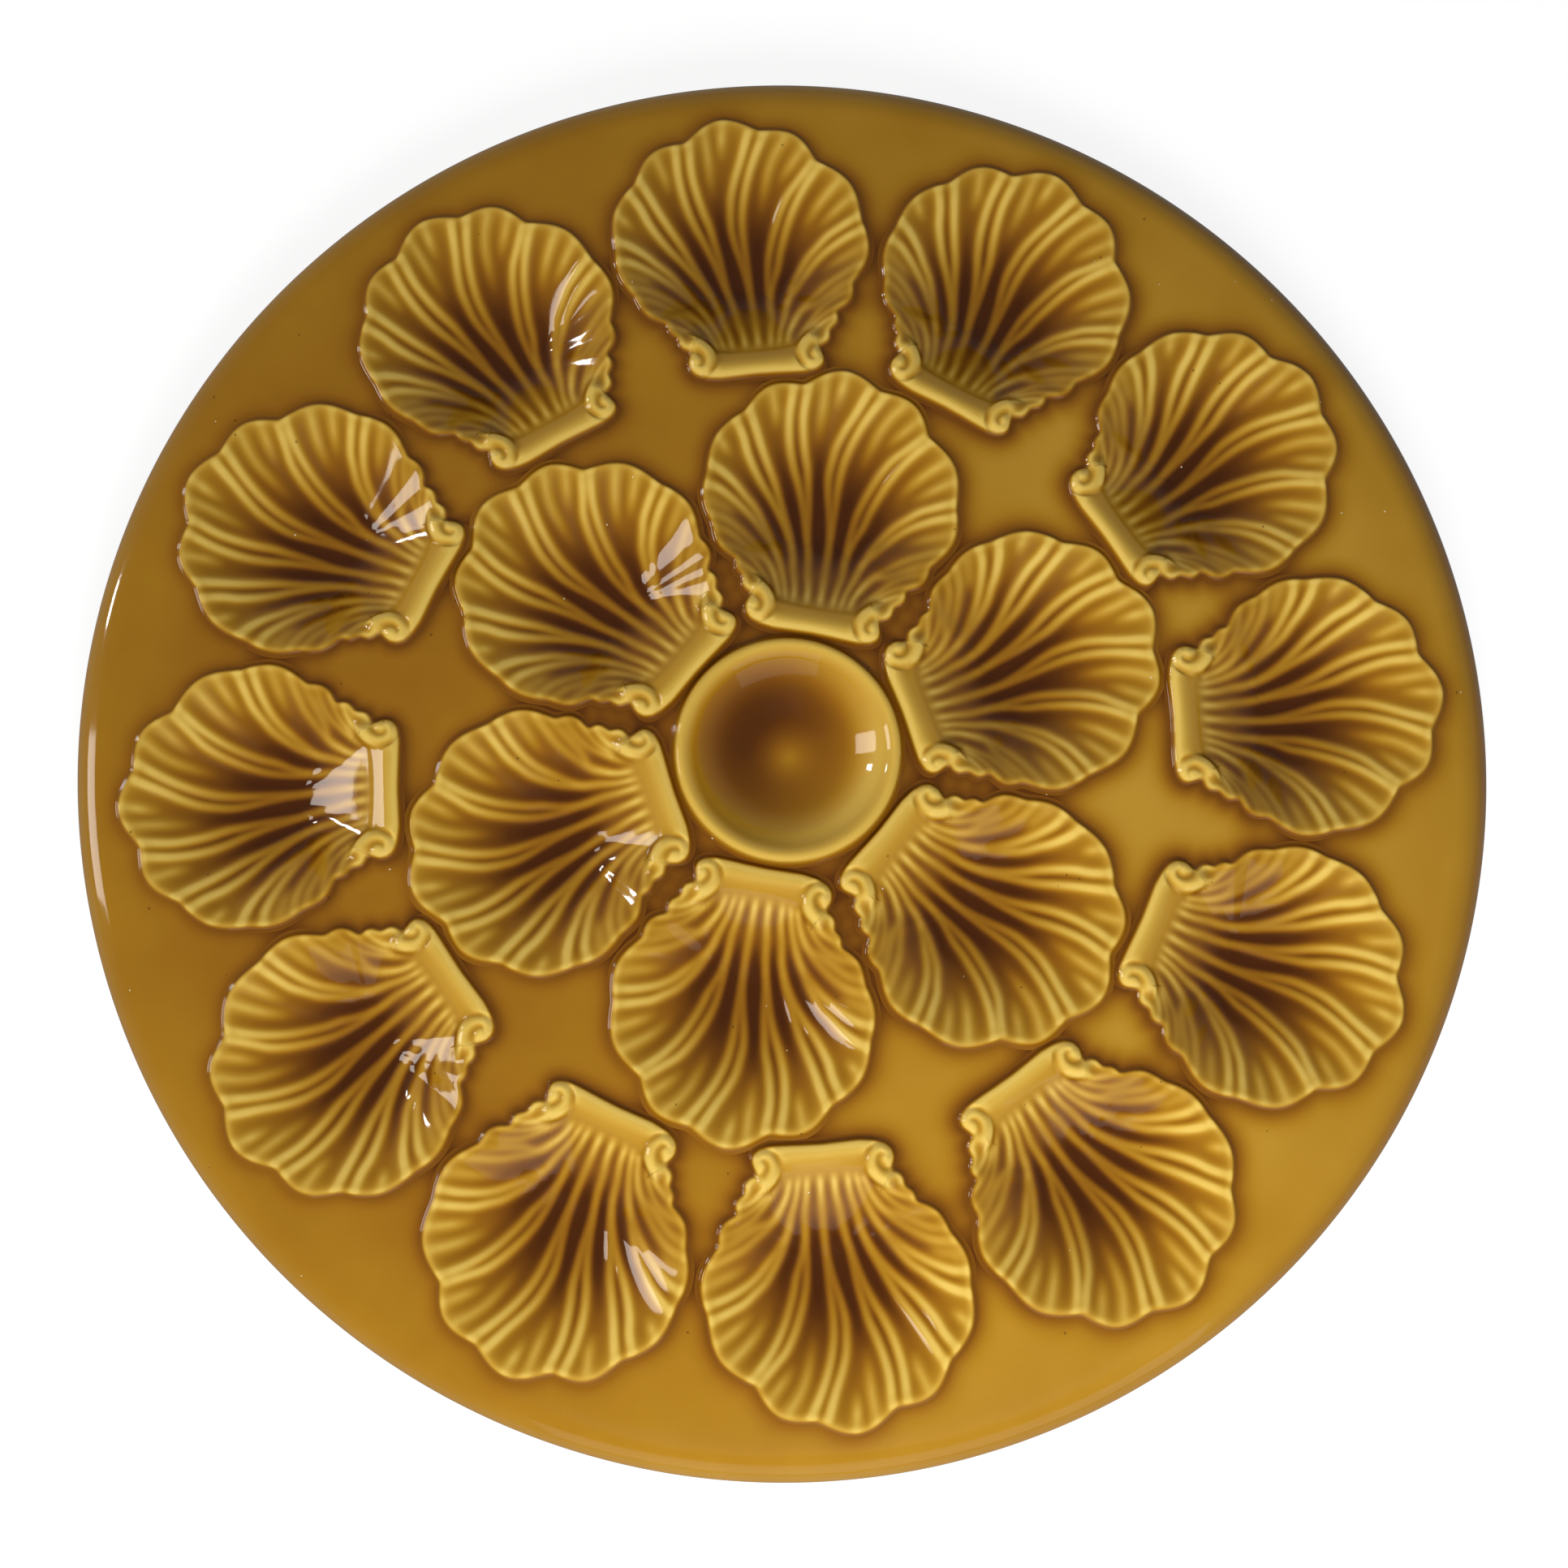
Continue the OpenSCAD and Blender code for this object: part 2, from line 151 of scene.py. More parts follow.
def to_line(x, y, line, reach):
    """Distance of every point to the line, and the share of the line's length at the nearest place."""
    lo, hi = line.min(0) - reach, line.max(0) + reach
    near = np.flatnonzero((x > lo[0]) & (x < hi[0]) & (y > lo[1]) & (y < hi[1]))
    best = np.full(len(near), np.inf)
    place = np.zeros(len(near))
    px, py = x[near], y[near]
    steps = np.diff(line, axis=0)
    lengths = np.linalg.norm(steps, axis=1)
    starts = np.r_[0, np.cumsum(lengths)]
    for k in range(len(steps)):
        along = ((px - line[k, 0]) * steps[k, 0] + (py - line[k, 1]) * steps[k, 1]) / lengths[k] ** 2
        along = np.clip(along, 0, 1)
        apart = np.hypot(px - line[k, 0] - along * steps[k, 0], py - line[k, 1] - along * steps[k, 1])
        closer = apart < best
        best[closer] = apart[closer]
        place[closer] = (starts[k] + along[closer] * lengths[k]) / starts[-1]
    return near, best, place


compass_points = 1440


def polar_table(points, centre):
    """Radius of a closed line round a centre, in every compass direction."""
    d = points - np.array(centre)
    angle = np.arctan2(d[:, 1], d[:, 0])
    order = np.argsort(angle)
    directions = np.linspace(-math.pi, math.pi, compass_points, endpoint=False)
    return np.interp(directions, angle[order], np.hypot(d[:, 0], d[:, 1])[order], period=2 * math.pi)


def look_up(table, angle):
    """Value of a polar table at any angle, between its entries too."""
    at = (angle + math.pi) / (2 * math.pi) * len(table)
    low = np.floor(at).astype(int)
    part = at - low
    return table[low % len(table)] * (1 - part) + table[(low + 1) % len(table)] * part


shell_centre = (0.0, 4.5)
whole_shell = 60
outline_radius = polar_table(outline, shell_centre)


def inside_by(x, y):
    """How far a point lies inside the outline; negative outside it."""
    closed = np.vstack([outline, outline[:1]])
    apart = to_line(x, y, closed, whole_shell)[1]
    radius = np.hypot(x - shell_centre[0], y - shell_centre[1])
    edge = look_up(outline_radius, np.arctan2(y - shell_centre[1], x - shell_centre[0]))
    return np.where(radius < edge, apart, -apart)


print("radius of the outline: %.1f to %.1f mm" % (outline_radius.min(), outline_radius.max()))

# %% [markdown]
# ## Ribs and strands
# On the real shell, ribs leave the hinge as single cords and split in two on their way to the rim. Every
# cord gets its own line from rim to hinge; the two cords of a twin share their last points, so they melt
# together there, and such a shared trunk has a letter, from a on the left to h on the right. Lower single
# ridges fill the outer half of the flutes, and on the side bumps short strands sweep down to the scrolls.

# %% Lines of the ribs
trunks = {
    "a": [(-14.5, -14.5), (-11.5, -19), (-10, -23.5)],
    "b": [(-13, -10.5), (-10.8, -15), (-9, -20), (-8, -24.5)],
    "c": [(-8.2, -10), (-7.3, -15), (-6.2, -20), (-5.8, -25)],
    "d": [(-3.8, -10), (-3.2, -15), (-2.4, -20), (-2.2, -25)],
    "e": [(1.5, -10), (1.5, -15), (1.5, -20), (1.4, -25)],
    "f": [(6.4, -10), (6.2, -15), (5.4, -20), (4.8, -25)],
    "g": [(11.3, -10), (9.7, -15), (8, -20), (7, -25)],
    "h": [(14.8, -14), (12, -17.5), (10.2, -21), (9.4, -24.5)],
}
twin_cords = [
    ("a", [(-31, -5.5), (-26.5, -6), (-22.5, -7.8), (-18.5, -10.5)]),
    ("a", [(-30.2, -8.5), (-26, -9), (-22, -10.8), (-18, -12.8)]),
    ("b", [(-34, 8.4), (-30, 7), (-26.5, 5), (-23.7, 2.8), (-20.8, 0.6), (-17, -4)]),
    ("b", [(-35, 2.6), (-30.7, 2.4), (-27.4, 1.2), (-24, -0.5), (-20.9, -2.5), (-17, -6)]),
    ("c", [(-29.5, 22), (-26.6, 18), (-24.6, 14), (-22.1, 10.4), (-19.6, 7.4), (-16.8, 4.5),
           (-13.9, 1), (-11, -3.5)]),
    ("c", [(-26.3, 25.5), (-23.7, 20.9), (-21.7, 17.3), (-19.2, 13.2), (-16.3, 8.6), (-14.2, 4.5),
           (-12.2, 0.5), (-10, -4)]),
    ("d", [(-15.2, 33), (-15.1, 26.3), (-14.5, 22.2), (-13.4, 18), (-11.8, 14), (-9.8, 9.9),
           (-8, 5.5), (-5.8, -2)]),
    ("d", [(-11.4, 34), (-11.4, 26.3), (-10.6, 22.2), (-9.4, 18), (-8, 14), (-7.1, 9.9), (-6.2, 5.5),
           (-5, -3)]),
    ("e", [(5.2, 35.5), (2.5, 29.5), (0.5, 25.4), (-1, 21.3), (-1.6, 17.3), (-1.8, 13.2), (-1.2, 9),
           (-0.3, 5), (0.8, -1)]),
    ("e", [(9.5, 35), (6.6, 30.3), (4.4, 26.2), (2.5, 21.3), (1.5, 17.3), (1.1, 13.2), (1.1, 9),
           (1.3, 5), (1.5, -1)]),
    ("f", [(21.5, 25), (17.7, 21.8), (14.8, 19.3), (12.4, 16), (10.5, 12.3), (8.7, 7.8), (7.5, 3.7),
           (6.8, -1)]),
    ("f", [(24.5, 25), (21, 21.8), (18.6, 19.3), (16.1, 16), (14.1, 12.7), (12.2, 8.6), (10.8, 5),
           (9.8, 1.5), (7.6, -4)]),
    ("g", [(33, 8.6), (27.6, 7), (24.3, 5.8), (21.1, 3.7), (18.2, 1.5), (15.8, -1.4),
           (13.2, -5.5)]),
    ("g", [(34, 4.8), (29.2, 3.9), (26, 2.9), (22.7, 1.5), (19.4, -0.7), (16.6, -3.6),
           (13.6, -7)]),
    ("h", [(31.5, -5.5), (27, -6.8), (23, -8.2), (19.5, -10.3)]),
    ("h", [(30.5, -8.8), (26.5, -9.8), (22.5, -11.5), (18.5, -13.2)]),
]
low_ridges = [
    [(-33.5, 16.5), (-30.5, 13.5), (-28, 11.8)],
    [(-31.5, -1.5), (-27, -2.6), (-23, -4.4)],
    [(-20.5, 30.5), (-19, 26), (-18.3, 20.5)],
    [(-7, 38), (-6.6, 32), (-6.5, 25), (-6.4, 18.5)],
    [(-1.5, 39.5), (-2.4, 34), (-3.2, 29)],
    [(14.8, 33), (12.2, 30), (10.2, 26.8), (8.6, 22.8), (7.4, 18.8), (6.6, 14)],
    [(20, 29.8), (17, 27), (14, 24), (11.8, 21)],
    [(28.3, 19.2), (25.3, 17), (22.5, 14.7), (19.7, 11.9), (16.8, 8.4)],
    [(31.5, 14.2), (27.6, 12.2), (24.2, 10.2), (20.8, 7.6)],
    [(33.5, 0), (29, -1.2), (24.5, -2.6), (20, -5)],
]
side_strands = [
    [(-27.5, -13), (-23, -13.2), (-19, -14.8), (-15.5, -18), (-13.2, -21.5), (-11.5, -25)],
    [(-22.5, -17), (-19.6, -17.8), (-17, -19.1), (-14.7, -21.8), (-12.4, -25)],
    [(28.5, -12), (24, -13.4), (20, -15.4), (16.5, -18.6), (13.4, -22.5), (11.8, -25.5)],
    [(25.5, -15.8), (22, -16.8), (19, -18.2), (16, -20.8), (13.6, -24.5)],
    [(23.9, -19), (21, -19.4), (18.1, -21), (15.6, -23.3), (14, -26)],
]
print("%d cords, %d low ridges and %d side strands" % (len(twin_cords), len(low_ridges), len(side_strands)))

# %% [markdown]
# ## Scrolls
# At each end of the hinge a strand runs in from the side, turns once and ends in a round knob, like a
# comma. In the mould this is one rolled cord of clay, so here it is a soft ridge along a curved line,
# with the knob as a soft bump at its end.

# %% Lines of the scrolls
scrolls = [
    ([(-19.8, -20.6), (-16.9, -22.3), (-14.5, -23.9), (-13, -25.8), (-12.6, -27.9), (-13.5, -29.9),
      (-15.2, -30.5), (-16.5, -29.6)], (-16.1, -28.1)),
    ([(20.2, -23.6), (16.7, -24.5), (14.5, -26.3), (13.4, -28.8), (14.1, -30.9), (15.8, -31.7),
      (17.4, -30.9)], (16.7, -29.4)),
]
print("scrolls with", [len(line) for line, knob in scrolls], "points")

# %% [markdown]
# ## Heights of a shell
# The mould's surface is a sum of simple parts: a bowl that is deepest a little towards the hinge, flutes
# and cords across it, a lip that falls to the field, an apron that rises to a roll along the hinge, and
# the scrolls on top. Cords join with a power mean, which melts neighbours together instead of stacking
# them. The bowl is as deep as the CAD shell's. The lip is a little lower and rounder, as the photograph
# shows it.

# %% Bowl, soft steps and cords
well_depth = 13.5
deep_place = (0.0, -2.0)
bowl_hinge = [(14, -26.8), (7, -27.4), (0, -27.4), (-7, -27.2), (-13, -26.4)]
bowl_step, bowl_spread = 0.5, 16
bowl_line = even_loop(np.vstack([rim[lobe_points:-lobe_points], bowl_hinge]), bowl_step)
bowl_radius = soften_loop(polar_table(bowl_line, deep_place), bowl_spread)


def ease(a, b, v):
    """A soft step: 0 where v is at a or before it, 1 where it is at b or past it."""
    t = np.clip((v - a) / (b - a), 0, 1)
    return t * t * (3 - 2 * t)


def cord_sum(x, y, cords, width, flat=2.0, power=4):
    """Power mean of soft ridges; width gives a ridge's half width at its rim end and at its other end."""
    total = np.zeros_like(x)
    for line, strong in cords:
        near, apart, place = to_line(x, y, line, 5 * width[0])
        half = width[0] + (width[1] - width[0]) * place
        total[near] += (strong(place) * np.exp(-((apart / half) ** flat))) ** power
    return total ** (1 / power)


def twin_fade(along):
    """Strength of a cord along its line, 0 at the rim to 1 at the hinge."""
    left_at_hinge = 0.4
    return left_at_hinge + (1 - left_at_hinge) * ease(0.95, 0.6, along)


def ridge_fade(along):
    return ease(1.0, 0.35, along)


def strand_fade(along):
    lost_at_scroll = 0.6
    return 1.0 - lost_at_scroll * ease(0.5, 1.0, along)


scroll_step = 0.4
twin_lines = [(smooth_line(cord + trunks[name]), twin_fade) for name, cord in twin_cords]
low_lines = [(smooth_line(line), ridge_fade) for line in low_ridges]
side_lines = [(smooth_line(line), strand_fade) for line in side_strands]
scroll_lines = [(smooth_line(line, scroll_step), knob) for line, knob in scrolls]
print("bowl: %.1f to %.1f mm round its deepest place" % (bowl_radius.min(), bowl_radius.max()))

# %% Parts of the height
lip_height, hinge_drop = 2.0, 1.3
brim_share, brim_sharp = 1.02, 28
open_share, open_power, round_share, round_power = 0.6, 1.9, 0.4, 1.1
ramp_power, ramp_round = 0.6, 0.04
cord_width, hill_width, low_width, side_width = (1.5, 0.95), (2.3, 1.3), (1.9, 1.4), (1.4, 1.0)
cord_height, hill_height, low_height, side_height, flute_depth = 0.35, 0.6, 0.5, 0.75, 0.7
cord_flatness, hill_flatness, hill_melt = 3.0, 2.0, 3
relief_left, lost_at_hinge, lost_at_sides = 0.55, 0.51, 0.55


def bare_bowl(share, hinge_side):
    """A bowl with round walls to the rim and a gentle ramp to the hinge."""
    lip = lip_height - hinge_drop * hinge_side
    s = np.maximum(share - np.logaddexp(0, brim_sharp * (share - brim_share)) / brim_sharp, 0)
    rounded = np.sin(math.pi / 2 * np.clip(s, 0, 1) ** round_power) ** 2
    bowl = open_share * s ** open_power + round_share * rounded
    start = ramp_round ** ramp_power
    ramp = ((s * s + ramp_round) ** ramp_power - start) / ((1 + ramp_round) ** ramp_power - start)
    bowl = bowl + hinge_side * (ramp - bowl)
    return -well_depth + (well_depth + lip) * bowl


def fluting(x, y, share, hinge_side):
    """Height of the ribs, and depth of the flutes between them."""
    ribbed = 1 - ease(0.82, 1.02, share) * hinge_side
    cords = cord_sum(x, y, twin_lines, cord_width, cord_flatness)
    hills = cord_sum(x, y, twin_lines, hill_width, hill_flatness, hill_melt)
    low = cord_sum(x, y, low_lines, low_width)
    side = cord_sum(x, y, side_lines, side_width)
    ribs = cord_height * cords + hill_height * hills + low_height * low + side_height * side
    return ribbed * ribs, flute_depth * ribbed * ease(0.1, 0.5, share)


def kept_relief(x, y):
    """Share of the relief that the glaze leaves: little near the hinge and low on the sides."""
    kept = relief_left - lost_at_hinge * ease(4.0, -14.0, y)
    low_sides = ease(11.0, 22.0, np.abs(x)) * ease(14.0, 3.0, y)
    return kept * (1 - lost_at_sides * low_sides)


print("lip %.1f mm above the field, %.1f mm at the hinge" % (lip_height, lip_height - hinge_drop))

# %% Scrolls and edge of the height
strand_reach, strand_half, strand_taper, strand_fall = 6.0, 2.0, 0.2, 1.1
knob_size, knob_height, knob_reach = 2.4, 1.1, 2.5
scroll_foot, scroll_rise = 1.1, 1.4
lip_band, roll_foot, least_lip = 2.6, 0.3, 0.5
hinge_wide, hinge_narrow = math.radians(56), math.radians(32)
calm_share, calm_width = 0.45, 7.0
cove_z, cove_rise = 0.7, 1.6
wall_places = [-1.7, -1.0, -0.6, -0.3, 0.0, 0.3, 0.6, 1.0, 1.5, 2.0]
wall_shares = [0, 0.01, 0.04, 0.12, 0.30, 0.57, 0.77, 0.90, 0.97, 1.0]


def raise_scrolls(x, y, z):
    """Lay the two scrolls, each a strand with a knob, on the heights z."""
    for line, knob in scroll_lines:
        near, apart, place = to_line(x, y, line, strand_reach)
        half = strand_half - strand_taper * place
        strand = np.exp(-strand_fall * (apart / half) ** 2)
        from_knob = np.hypot(x[near] - knob[0], y[near] - knob[1])
        full = ease(0.0, 0.3, place)
        knob_bump = knob_height * np.exp(-((from_knob / knob_size) ** 2))
        raised = scroll_foot + scroll_rise * np.maximum(full * strand, knob_bump)
        on_strand = ease(1.5, 0.9, apart / half) * full
        reach = np.maximum(on_strand, ease(1.35, 0.9, from_knob / knob_reach))
        z[near] = z[near] + reach * (raised - z[near])


def lower_edge(y, z, depth_in):
    """Bring the edge down to the field, soft along the rim and round along the hinge's roll."""
    wall = np.interp(depth_in, wall_places, wall_shares)
    quarter_round = np.sqrt(1 - (1 - np.clip(depth_in / lip_band, 0, 1)) ** 2)
    round_roll = roll_foot + (1 - roll_foot) * quarter_round
    on_roll = ease(-27.5, -30.5, y) * (depth_in > 0)
    wall = wall + on_roll * (round_roll - wall)
    above_field = z + (np.maximum(z, least_lip) - z) * ease(2.4, 0.6, depth_in)
    return np.where(depth_in < lip_band, wall * above_field, z)


def shell_height(x, y):
    """Height above the field, how far inside the outline, and the height of the ribs alone."""
    depth_in = inside_by(x, y)
    dx, dy = x - deep_place[0], y - deep_place[1]
    angle = np.arctan2(dy, dx)
    share = np.hypot(dx, dy) / look_up(bowl_radius, angle)
    hinge_side = ease(hinge_wide, hinge_narrow, np.abs(angle + math.pi / 2))
    relief, flute = fluting(x, y, share, hinge_side)
    calm_edge = calm_share + (1 - calm_share) * ease(0.0, calm_width, depth_in)
    z = bare_bowl(share, hinge_side) + kept_relief(x, y) * (relief - flute) * calm_edge
    cove = cove_z + cove_rise * ease(-26.5, -31.2, y)
    z = z + hinge_side * ease(0.92, 1.06, share) * (cove - np.minimum(z, cove))
    raise_scrolls(x, y, z)
    return lower_edge(y, z, depth_in), depth_in, relief


probe = shell_height(np.array([0.0, 0.0, -2.0]), np.array([-2.0, 39.0, -32.0]))[0]
print("heights in mm: bottom %.1f, lip %.1f, roll %.1f" % tuple(probe))

# %% [markdown]
# ## How thick the glaze lies
# A runny glaze leaves edges and ridges and gathers in flutes and wells before it sets. The same effect
# comes from a comparison of the relief with a blurred copy of itself: where the blurred copy is higher,
# the place is a hollow and the glaze is thick. Depth in the well adds to it, the thin edge of the lip
# takes away, and round the shell the glaze gathers in the crease on the field. The result is stored on
# the vertices and becomes colour in the materials. Blender's own pointiness would do this in the render
# only; a stored value also survives an export.

# %% Height map of a shell and the field round it
map_step = 0.25
map_half = 56.0
glaze_foot, shell_edge = -2.4, 0.2
ticks = np.arange(-map_half, map_half + map_step / 2, map_step)
map_x, map_y = np.meshgrid(ticks, ticks)
height_map, depth_map, relief_map = [
    part.reshape(map_x.shape) for part in shell_height(map_x.ravel(), map_y.ravel())]
height_map = np.where(depth_map > glaze_foot, height_map, 0.0)
on_shell = (depth_map > shell_edge).astype(float)


def blur(values, spread_mm):
    """A map blurred with a bell curve, first along its rows and then along its columns."""
    spread = spread_mm / map_step
    reach = int(3 * spread)
    taps = np.exp(-0.5 * (np.arange(-reach, reach + 1) / spread) ** 2)
    taps /= taps.sum()
    padded = np.pad(values, reach, mode="edge")
    rows = sum(t * padded[:, i:i + values.shape[1]] for i, t in enumerate(taps))
    return sum(t * rows[i:i + values.shape[0], :] for i, t in enumerate(taps))


def hollow(spread_mm):
    """How far the relief lies below its surroundings on the shell."""
    around = blur(relief_map * on_shell, spread_mm) / np.maximum(blur(on_shell, spread_mm), 1e-3)
    return on_shell * (around - relief_map)


print("height map: %d by %d points" % map_x.shape)

# %% Zones of a shell
# The steps are places on the shell in mm, where the hinge lies near y = -32 and the far rim near y = 40.
pool = np.clip(-height_map / well_depth, 0, 1) ** 1.5
hinge_band = ease(-25.5, -29.5, map_y)
side_zone = ease(10.0, 18.0, np.abs(map_x)) * ease(-2.0, -8.0, map_y) * ease(-22.0, -16.0, map_y)
scroll_zone = ease(-19.0, -22.0, map_y) * ease(9.0, 12.0, np.abs(map_x))
thin_edge = np.exp(-((np.maximum(depth_map - 0.8, 0) / 1.0) ** 2))
near_lip = ease(5.0, 1.2, depth_map)
toward_hinge = ease(-6.0, -20.0, map_y)
apron = ease(-14.0, -22.0, map_y)
before_roll = 1 - 0.6 * ease(-22.0, -26.0, map_y)
outer_half = (1 - pool) * ease(-6.0, 6.0, map_y)
print("share of the map on the shell: %.2f" % on_shell.mean())

# %% Glaze on the shell
field_glaze = 0.40
rib_glaze, pool_glaze, lip_loss, side_gain, hinge_loss = 0.29, 0.46, 0.21, 0.13, 0.05
cord_hollow, flute_hollow, roll_hollow = 0.9, 3.2, 1.1
flute_gain, roll_gain, cord_gain, outer_gain, apron_gain = 1.15, 0.55, 0.26, 0.34, 2
between_cords = (cord_gain + outer_gain * outer_half) * hollow(cord_hollow) * (1 + apron_gain * apron)
between_ribs = hollow(flute_hollow)
dark_flutes, pale_ribs = 0.44 + 0.26 * pool, 0.54 - 0.28 * pool
contrast = np.where(between_ribs > 0, dark_flutes, pale_ribs)
contrast *= 1 - 0.3 * toward_hinge + 0.8 * apron
contrast *= (1 - 0.4 * side_zone) * (1 - 0.55 * near_lip)
well_glaze = rib_glaze + pool_glaze * pool + side_gain * side_zone
well_glaze += (between_cords + flute_gain * between_ribs * contrast) * before_roll
around_roll = blur(height_map, roll_hollow) - height_map
well_glaze += np.maximum(hinge_band, scroll_zone) * roll_gain * around_roll
well_glaze -= hinge_loss * (hinge_band + scroll_zone) + lip_loss * thin_edge
print("glaze in the well: thickest %.2f" % well_glaze.max())

# %% Crease round the shell, and the whole glaze map
crease_start, crease_width, crease_fall, map_blur, thickest = 0.4, 3.2, 1.5, 0.3, 1.1
crease_depth = 0.42 - 0.06 * ease(-18.0, -2.0, map_y) - 0.10 * ease(8.0, 34.0, map_y)
off_shell = np.maximum(crease_start - depth_map, 0)
crease_glaze = field_glaze + crease_depth * np.exp(-((off_shell / crease_width) ** crease_fall))
lip_side = ease(-0.2, 0.9, depth_map)
glaze_map = blur(lip_side * well_glaze + (1 - lip_side) * crease_glaze, map_blur)
glaze_map = np.clip(glaze_map, 0, thickest)


def from_map(values, x, y):
    """Values of a map at any places, mixed from the four nearest points."""
    last = len(ticks) - 1.001
    fx = np.clip((x + map_half) / map_step, 0, last)
    fy = np.clip((y + map_half) / map_step, 0, last)
    i, j = fx.astype(int), fy.astype(int)
    a, b = fx - i, fy - j
    low_row = values[j, i] * (1 - a) + values[j, i + 1] * a
    high_row = values[j + 1, i] * (1 - a) + values[j + 1, i + 1] * a
    return low_row * (1 - b) + high_row * b


print("glaze map: thinnest %.2f, thickest %.2f" % (glaze_map.min(), glaze_map.max()))

# %% [markdown]
# ## Meshes from rings of points
# Every piece here is made of closed rings of points joined to their neighbours, like clay coils. Small
# helpers join the rings and close the ends with a single point, so that each mesh is a closed solid, and
# one stores the glaze's thickness on the vertices.

# %% Helpers that join rings to a closed mesh
def new_mesh(name, verts, faces, glaze):
    mesh = bpy.data.meshes.new(name)
    mesh.from_pydata((np.asarray(verts) * MM).tolist(), [], faces)
    mesh.polygons.foreach_set("use_smooth", np.ones(len(mesh.polygons), bool))
    stored = mesh.attributes.new("glaze", "FLOAT", "POINT")
    stored.data.foreach_set("value", np.asarray(glaze, np.float32))
    mesh.update()
    return mesh


def ring_faces(rows, count):
    i = np.arange(count)
    j = (i + 1) % count
    faces = []
    for r in range(rows - 1):
        a, b = r * count, (r + 1) * count
        faces.append(np.c_[a + i, a + j, b + j, b + i])
    return np.vstack(faces).tolist()


def fan_faces(hub, first, count, outward):
    i = np.arange(count)
    j = (i + 1) % count
    pairs = (first + i, first + j) if outward else (first + j, first + i)
    return np.c_[np.full(count, hub), pairs[0], pairs[1]].tolist()


print("a ring of three points and its hub make", len(fan_faces(3, 0, 3, True)), "faces")

# %% [markdown]
# ## The shell's mesh
# Rings run out from the middle of the well to the lip, over it and down a thin foot of glaze that dips
# just under the field. Then they run back underneath: the bowl bulges through its seat in the plate and
# shows below as a round bulge.

# %% Top of the shell
columns = 720
inner_rings, ring_crowding = 84, 0.85
lip_steps = (2.2, 1.8, 1.45, 1.15, 0.9, 0.65, 0.4, 0.2, 0.0, -0.25, -0.5, -0.8, -1.15, -1.6)
foot_dip = -0.06
angles = np.linspace(-math.pi, math.pi, columns, endpoint=False)
edge_radius = look_up(outline_radius, angles)
rings = [(edge_radius - lip_band) * f for f in np.linspace(0, 1, inner_rings)[1:] ** ring_crowding]
rings += [edge_radius - step for step in lip_steps]
rings = np.array(rings)
top_x = (shell_centre[0] + rings * np.cos(angles)).ravel()
top_y = (shell_centre[1] + rings * np.sin(angles)).ravel()
top_z = shell_height(top_x, top_y)[0].reshape(rings.shape)
top_z[-1] = foot_dip
middle_z = float(shell_height(np.array([shell_centre[0]]), np.array([shell_centre[1]]))[0][0])
print("rings on the top of a shell:", len(rings))

# %% Underside of the shell
under_glaze, under_middle_z = 0.45, -18.5
tuck_out, tuck_z, tuck_in = 1.3, -0.6, 0.2
under_profile = [(31.6, -3.0), (31.6, -6.05), (30.8, -6.2), (30.0, -6.7), (29.2, -7.6), (27.6, -9.6),
                 (25.4, -11.6), (22.4, -13.5), (18.6, -15.3), (14.0, -16.8), (9.0, -17.9), (4.0, -18.4)]


def shell_ring(radius, z):
    across, along = radius * np.cos(angles), radius * np.sin(angles)
    return np.c_[shell_centre[0] + across, shell_centre[1] + along, np.full(columns, z)]


verts = [np.c_[top_x, top_y, top_z.ravel()], shell_ring(edge_radius + tuck_out, tuck_z)]
verts += [shell_ring(np.minimum(radius, edge_radius - tuck_in), z) for radius, z in under_profile]
verts.append(np.array([[*shell_centre, middle_z], [*shell_centre, under_middle_z]]))
shell_verts = np.vstack(verts)
rows = len(rings) + 1 + len(under_profile)
top_hub, under_hub = rows * columns, rows * columns + 1
shell_faces = [face[::-1] for face in ring_faces(rows, columns)]
shell_faces += fan_faces(top_hub, 0, columns, True)
shell_faces += fan_faces(under_hub, (rows - 1) * columns, columns, False)
shell_glaze = from_map(glaze_map, shell_verts[:, 0], shell_verts[:, 1])
shell_glaze[len(rings) * columns:top_hub] = under_glaze
shell_glaze[under_hub] = under_glaze
shell_mesh = new_mesh("pressed_shell", shell_verts, shell_faces, shell_glaze)
shell_top = shell_verts[:, 2].max()
print("shell mesh: %d vertices, top %.1f mm above the field" % (len(shell_mesh.vertices), shell_top))

# %% [markdown]
# ## Shells on the plate
# Twelve shells stand on the outer ring and six on the inner one. A hand set them, so each is turned a
# degree or two on its own, as the CAD has it.

# %% Places of the shells
outer_turn = [1.5, -2.5, 1, -1.5, 1.5, 2, 0.5, 0.5, 1.5, -2.5, -0.5, -4.5]
inner_turn = [0.5, 1, 1, 0, -0.5, 0]
outer_ring = ("outer_shell_%02d", outer_turn, 136.97, 90)
inner_ring = ("inner_shell_%02d", inner_turn, 65.48, 75)
shell_places = []
for name, turns, ring_r, first_angle in (outer_ring, inner_ring):
    apart = 360 // len(turns)
    for n, own_turn in enumerate(turns):
        shell_places.append((name % (n + 1), first_angle - apart * n, ring_r, own_turn))


def ring_place(angle, radius, own_turn):
    """Where a shell stands: out along its angle, and turned a little on its own."""
    swing = Matrix.Rotation(math.radians(angle - 90), 4, "Z")
    outward = Matrix.Translation((0, radius, field_z))
    return swing @ outward @ Matrix.Rotation(math.radians(own_turn), 4, "Z")


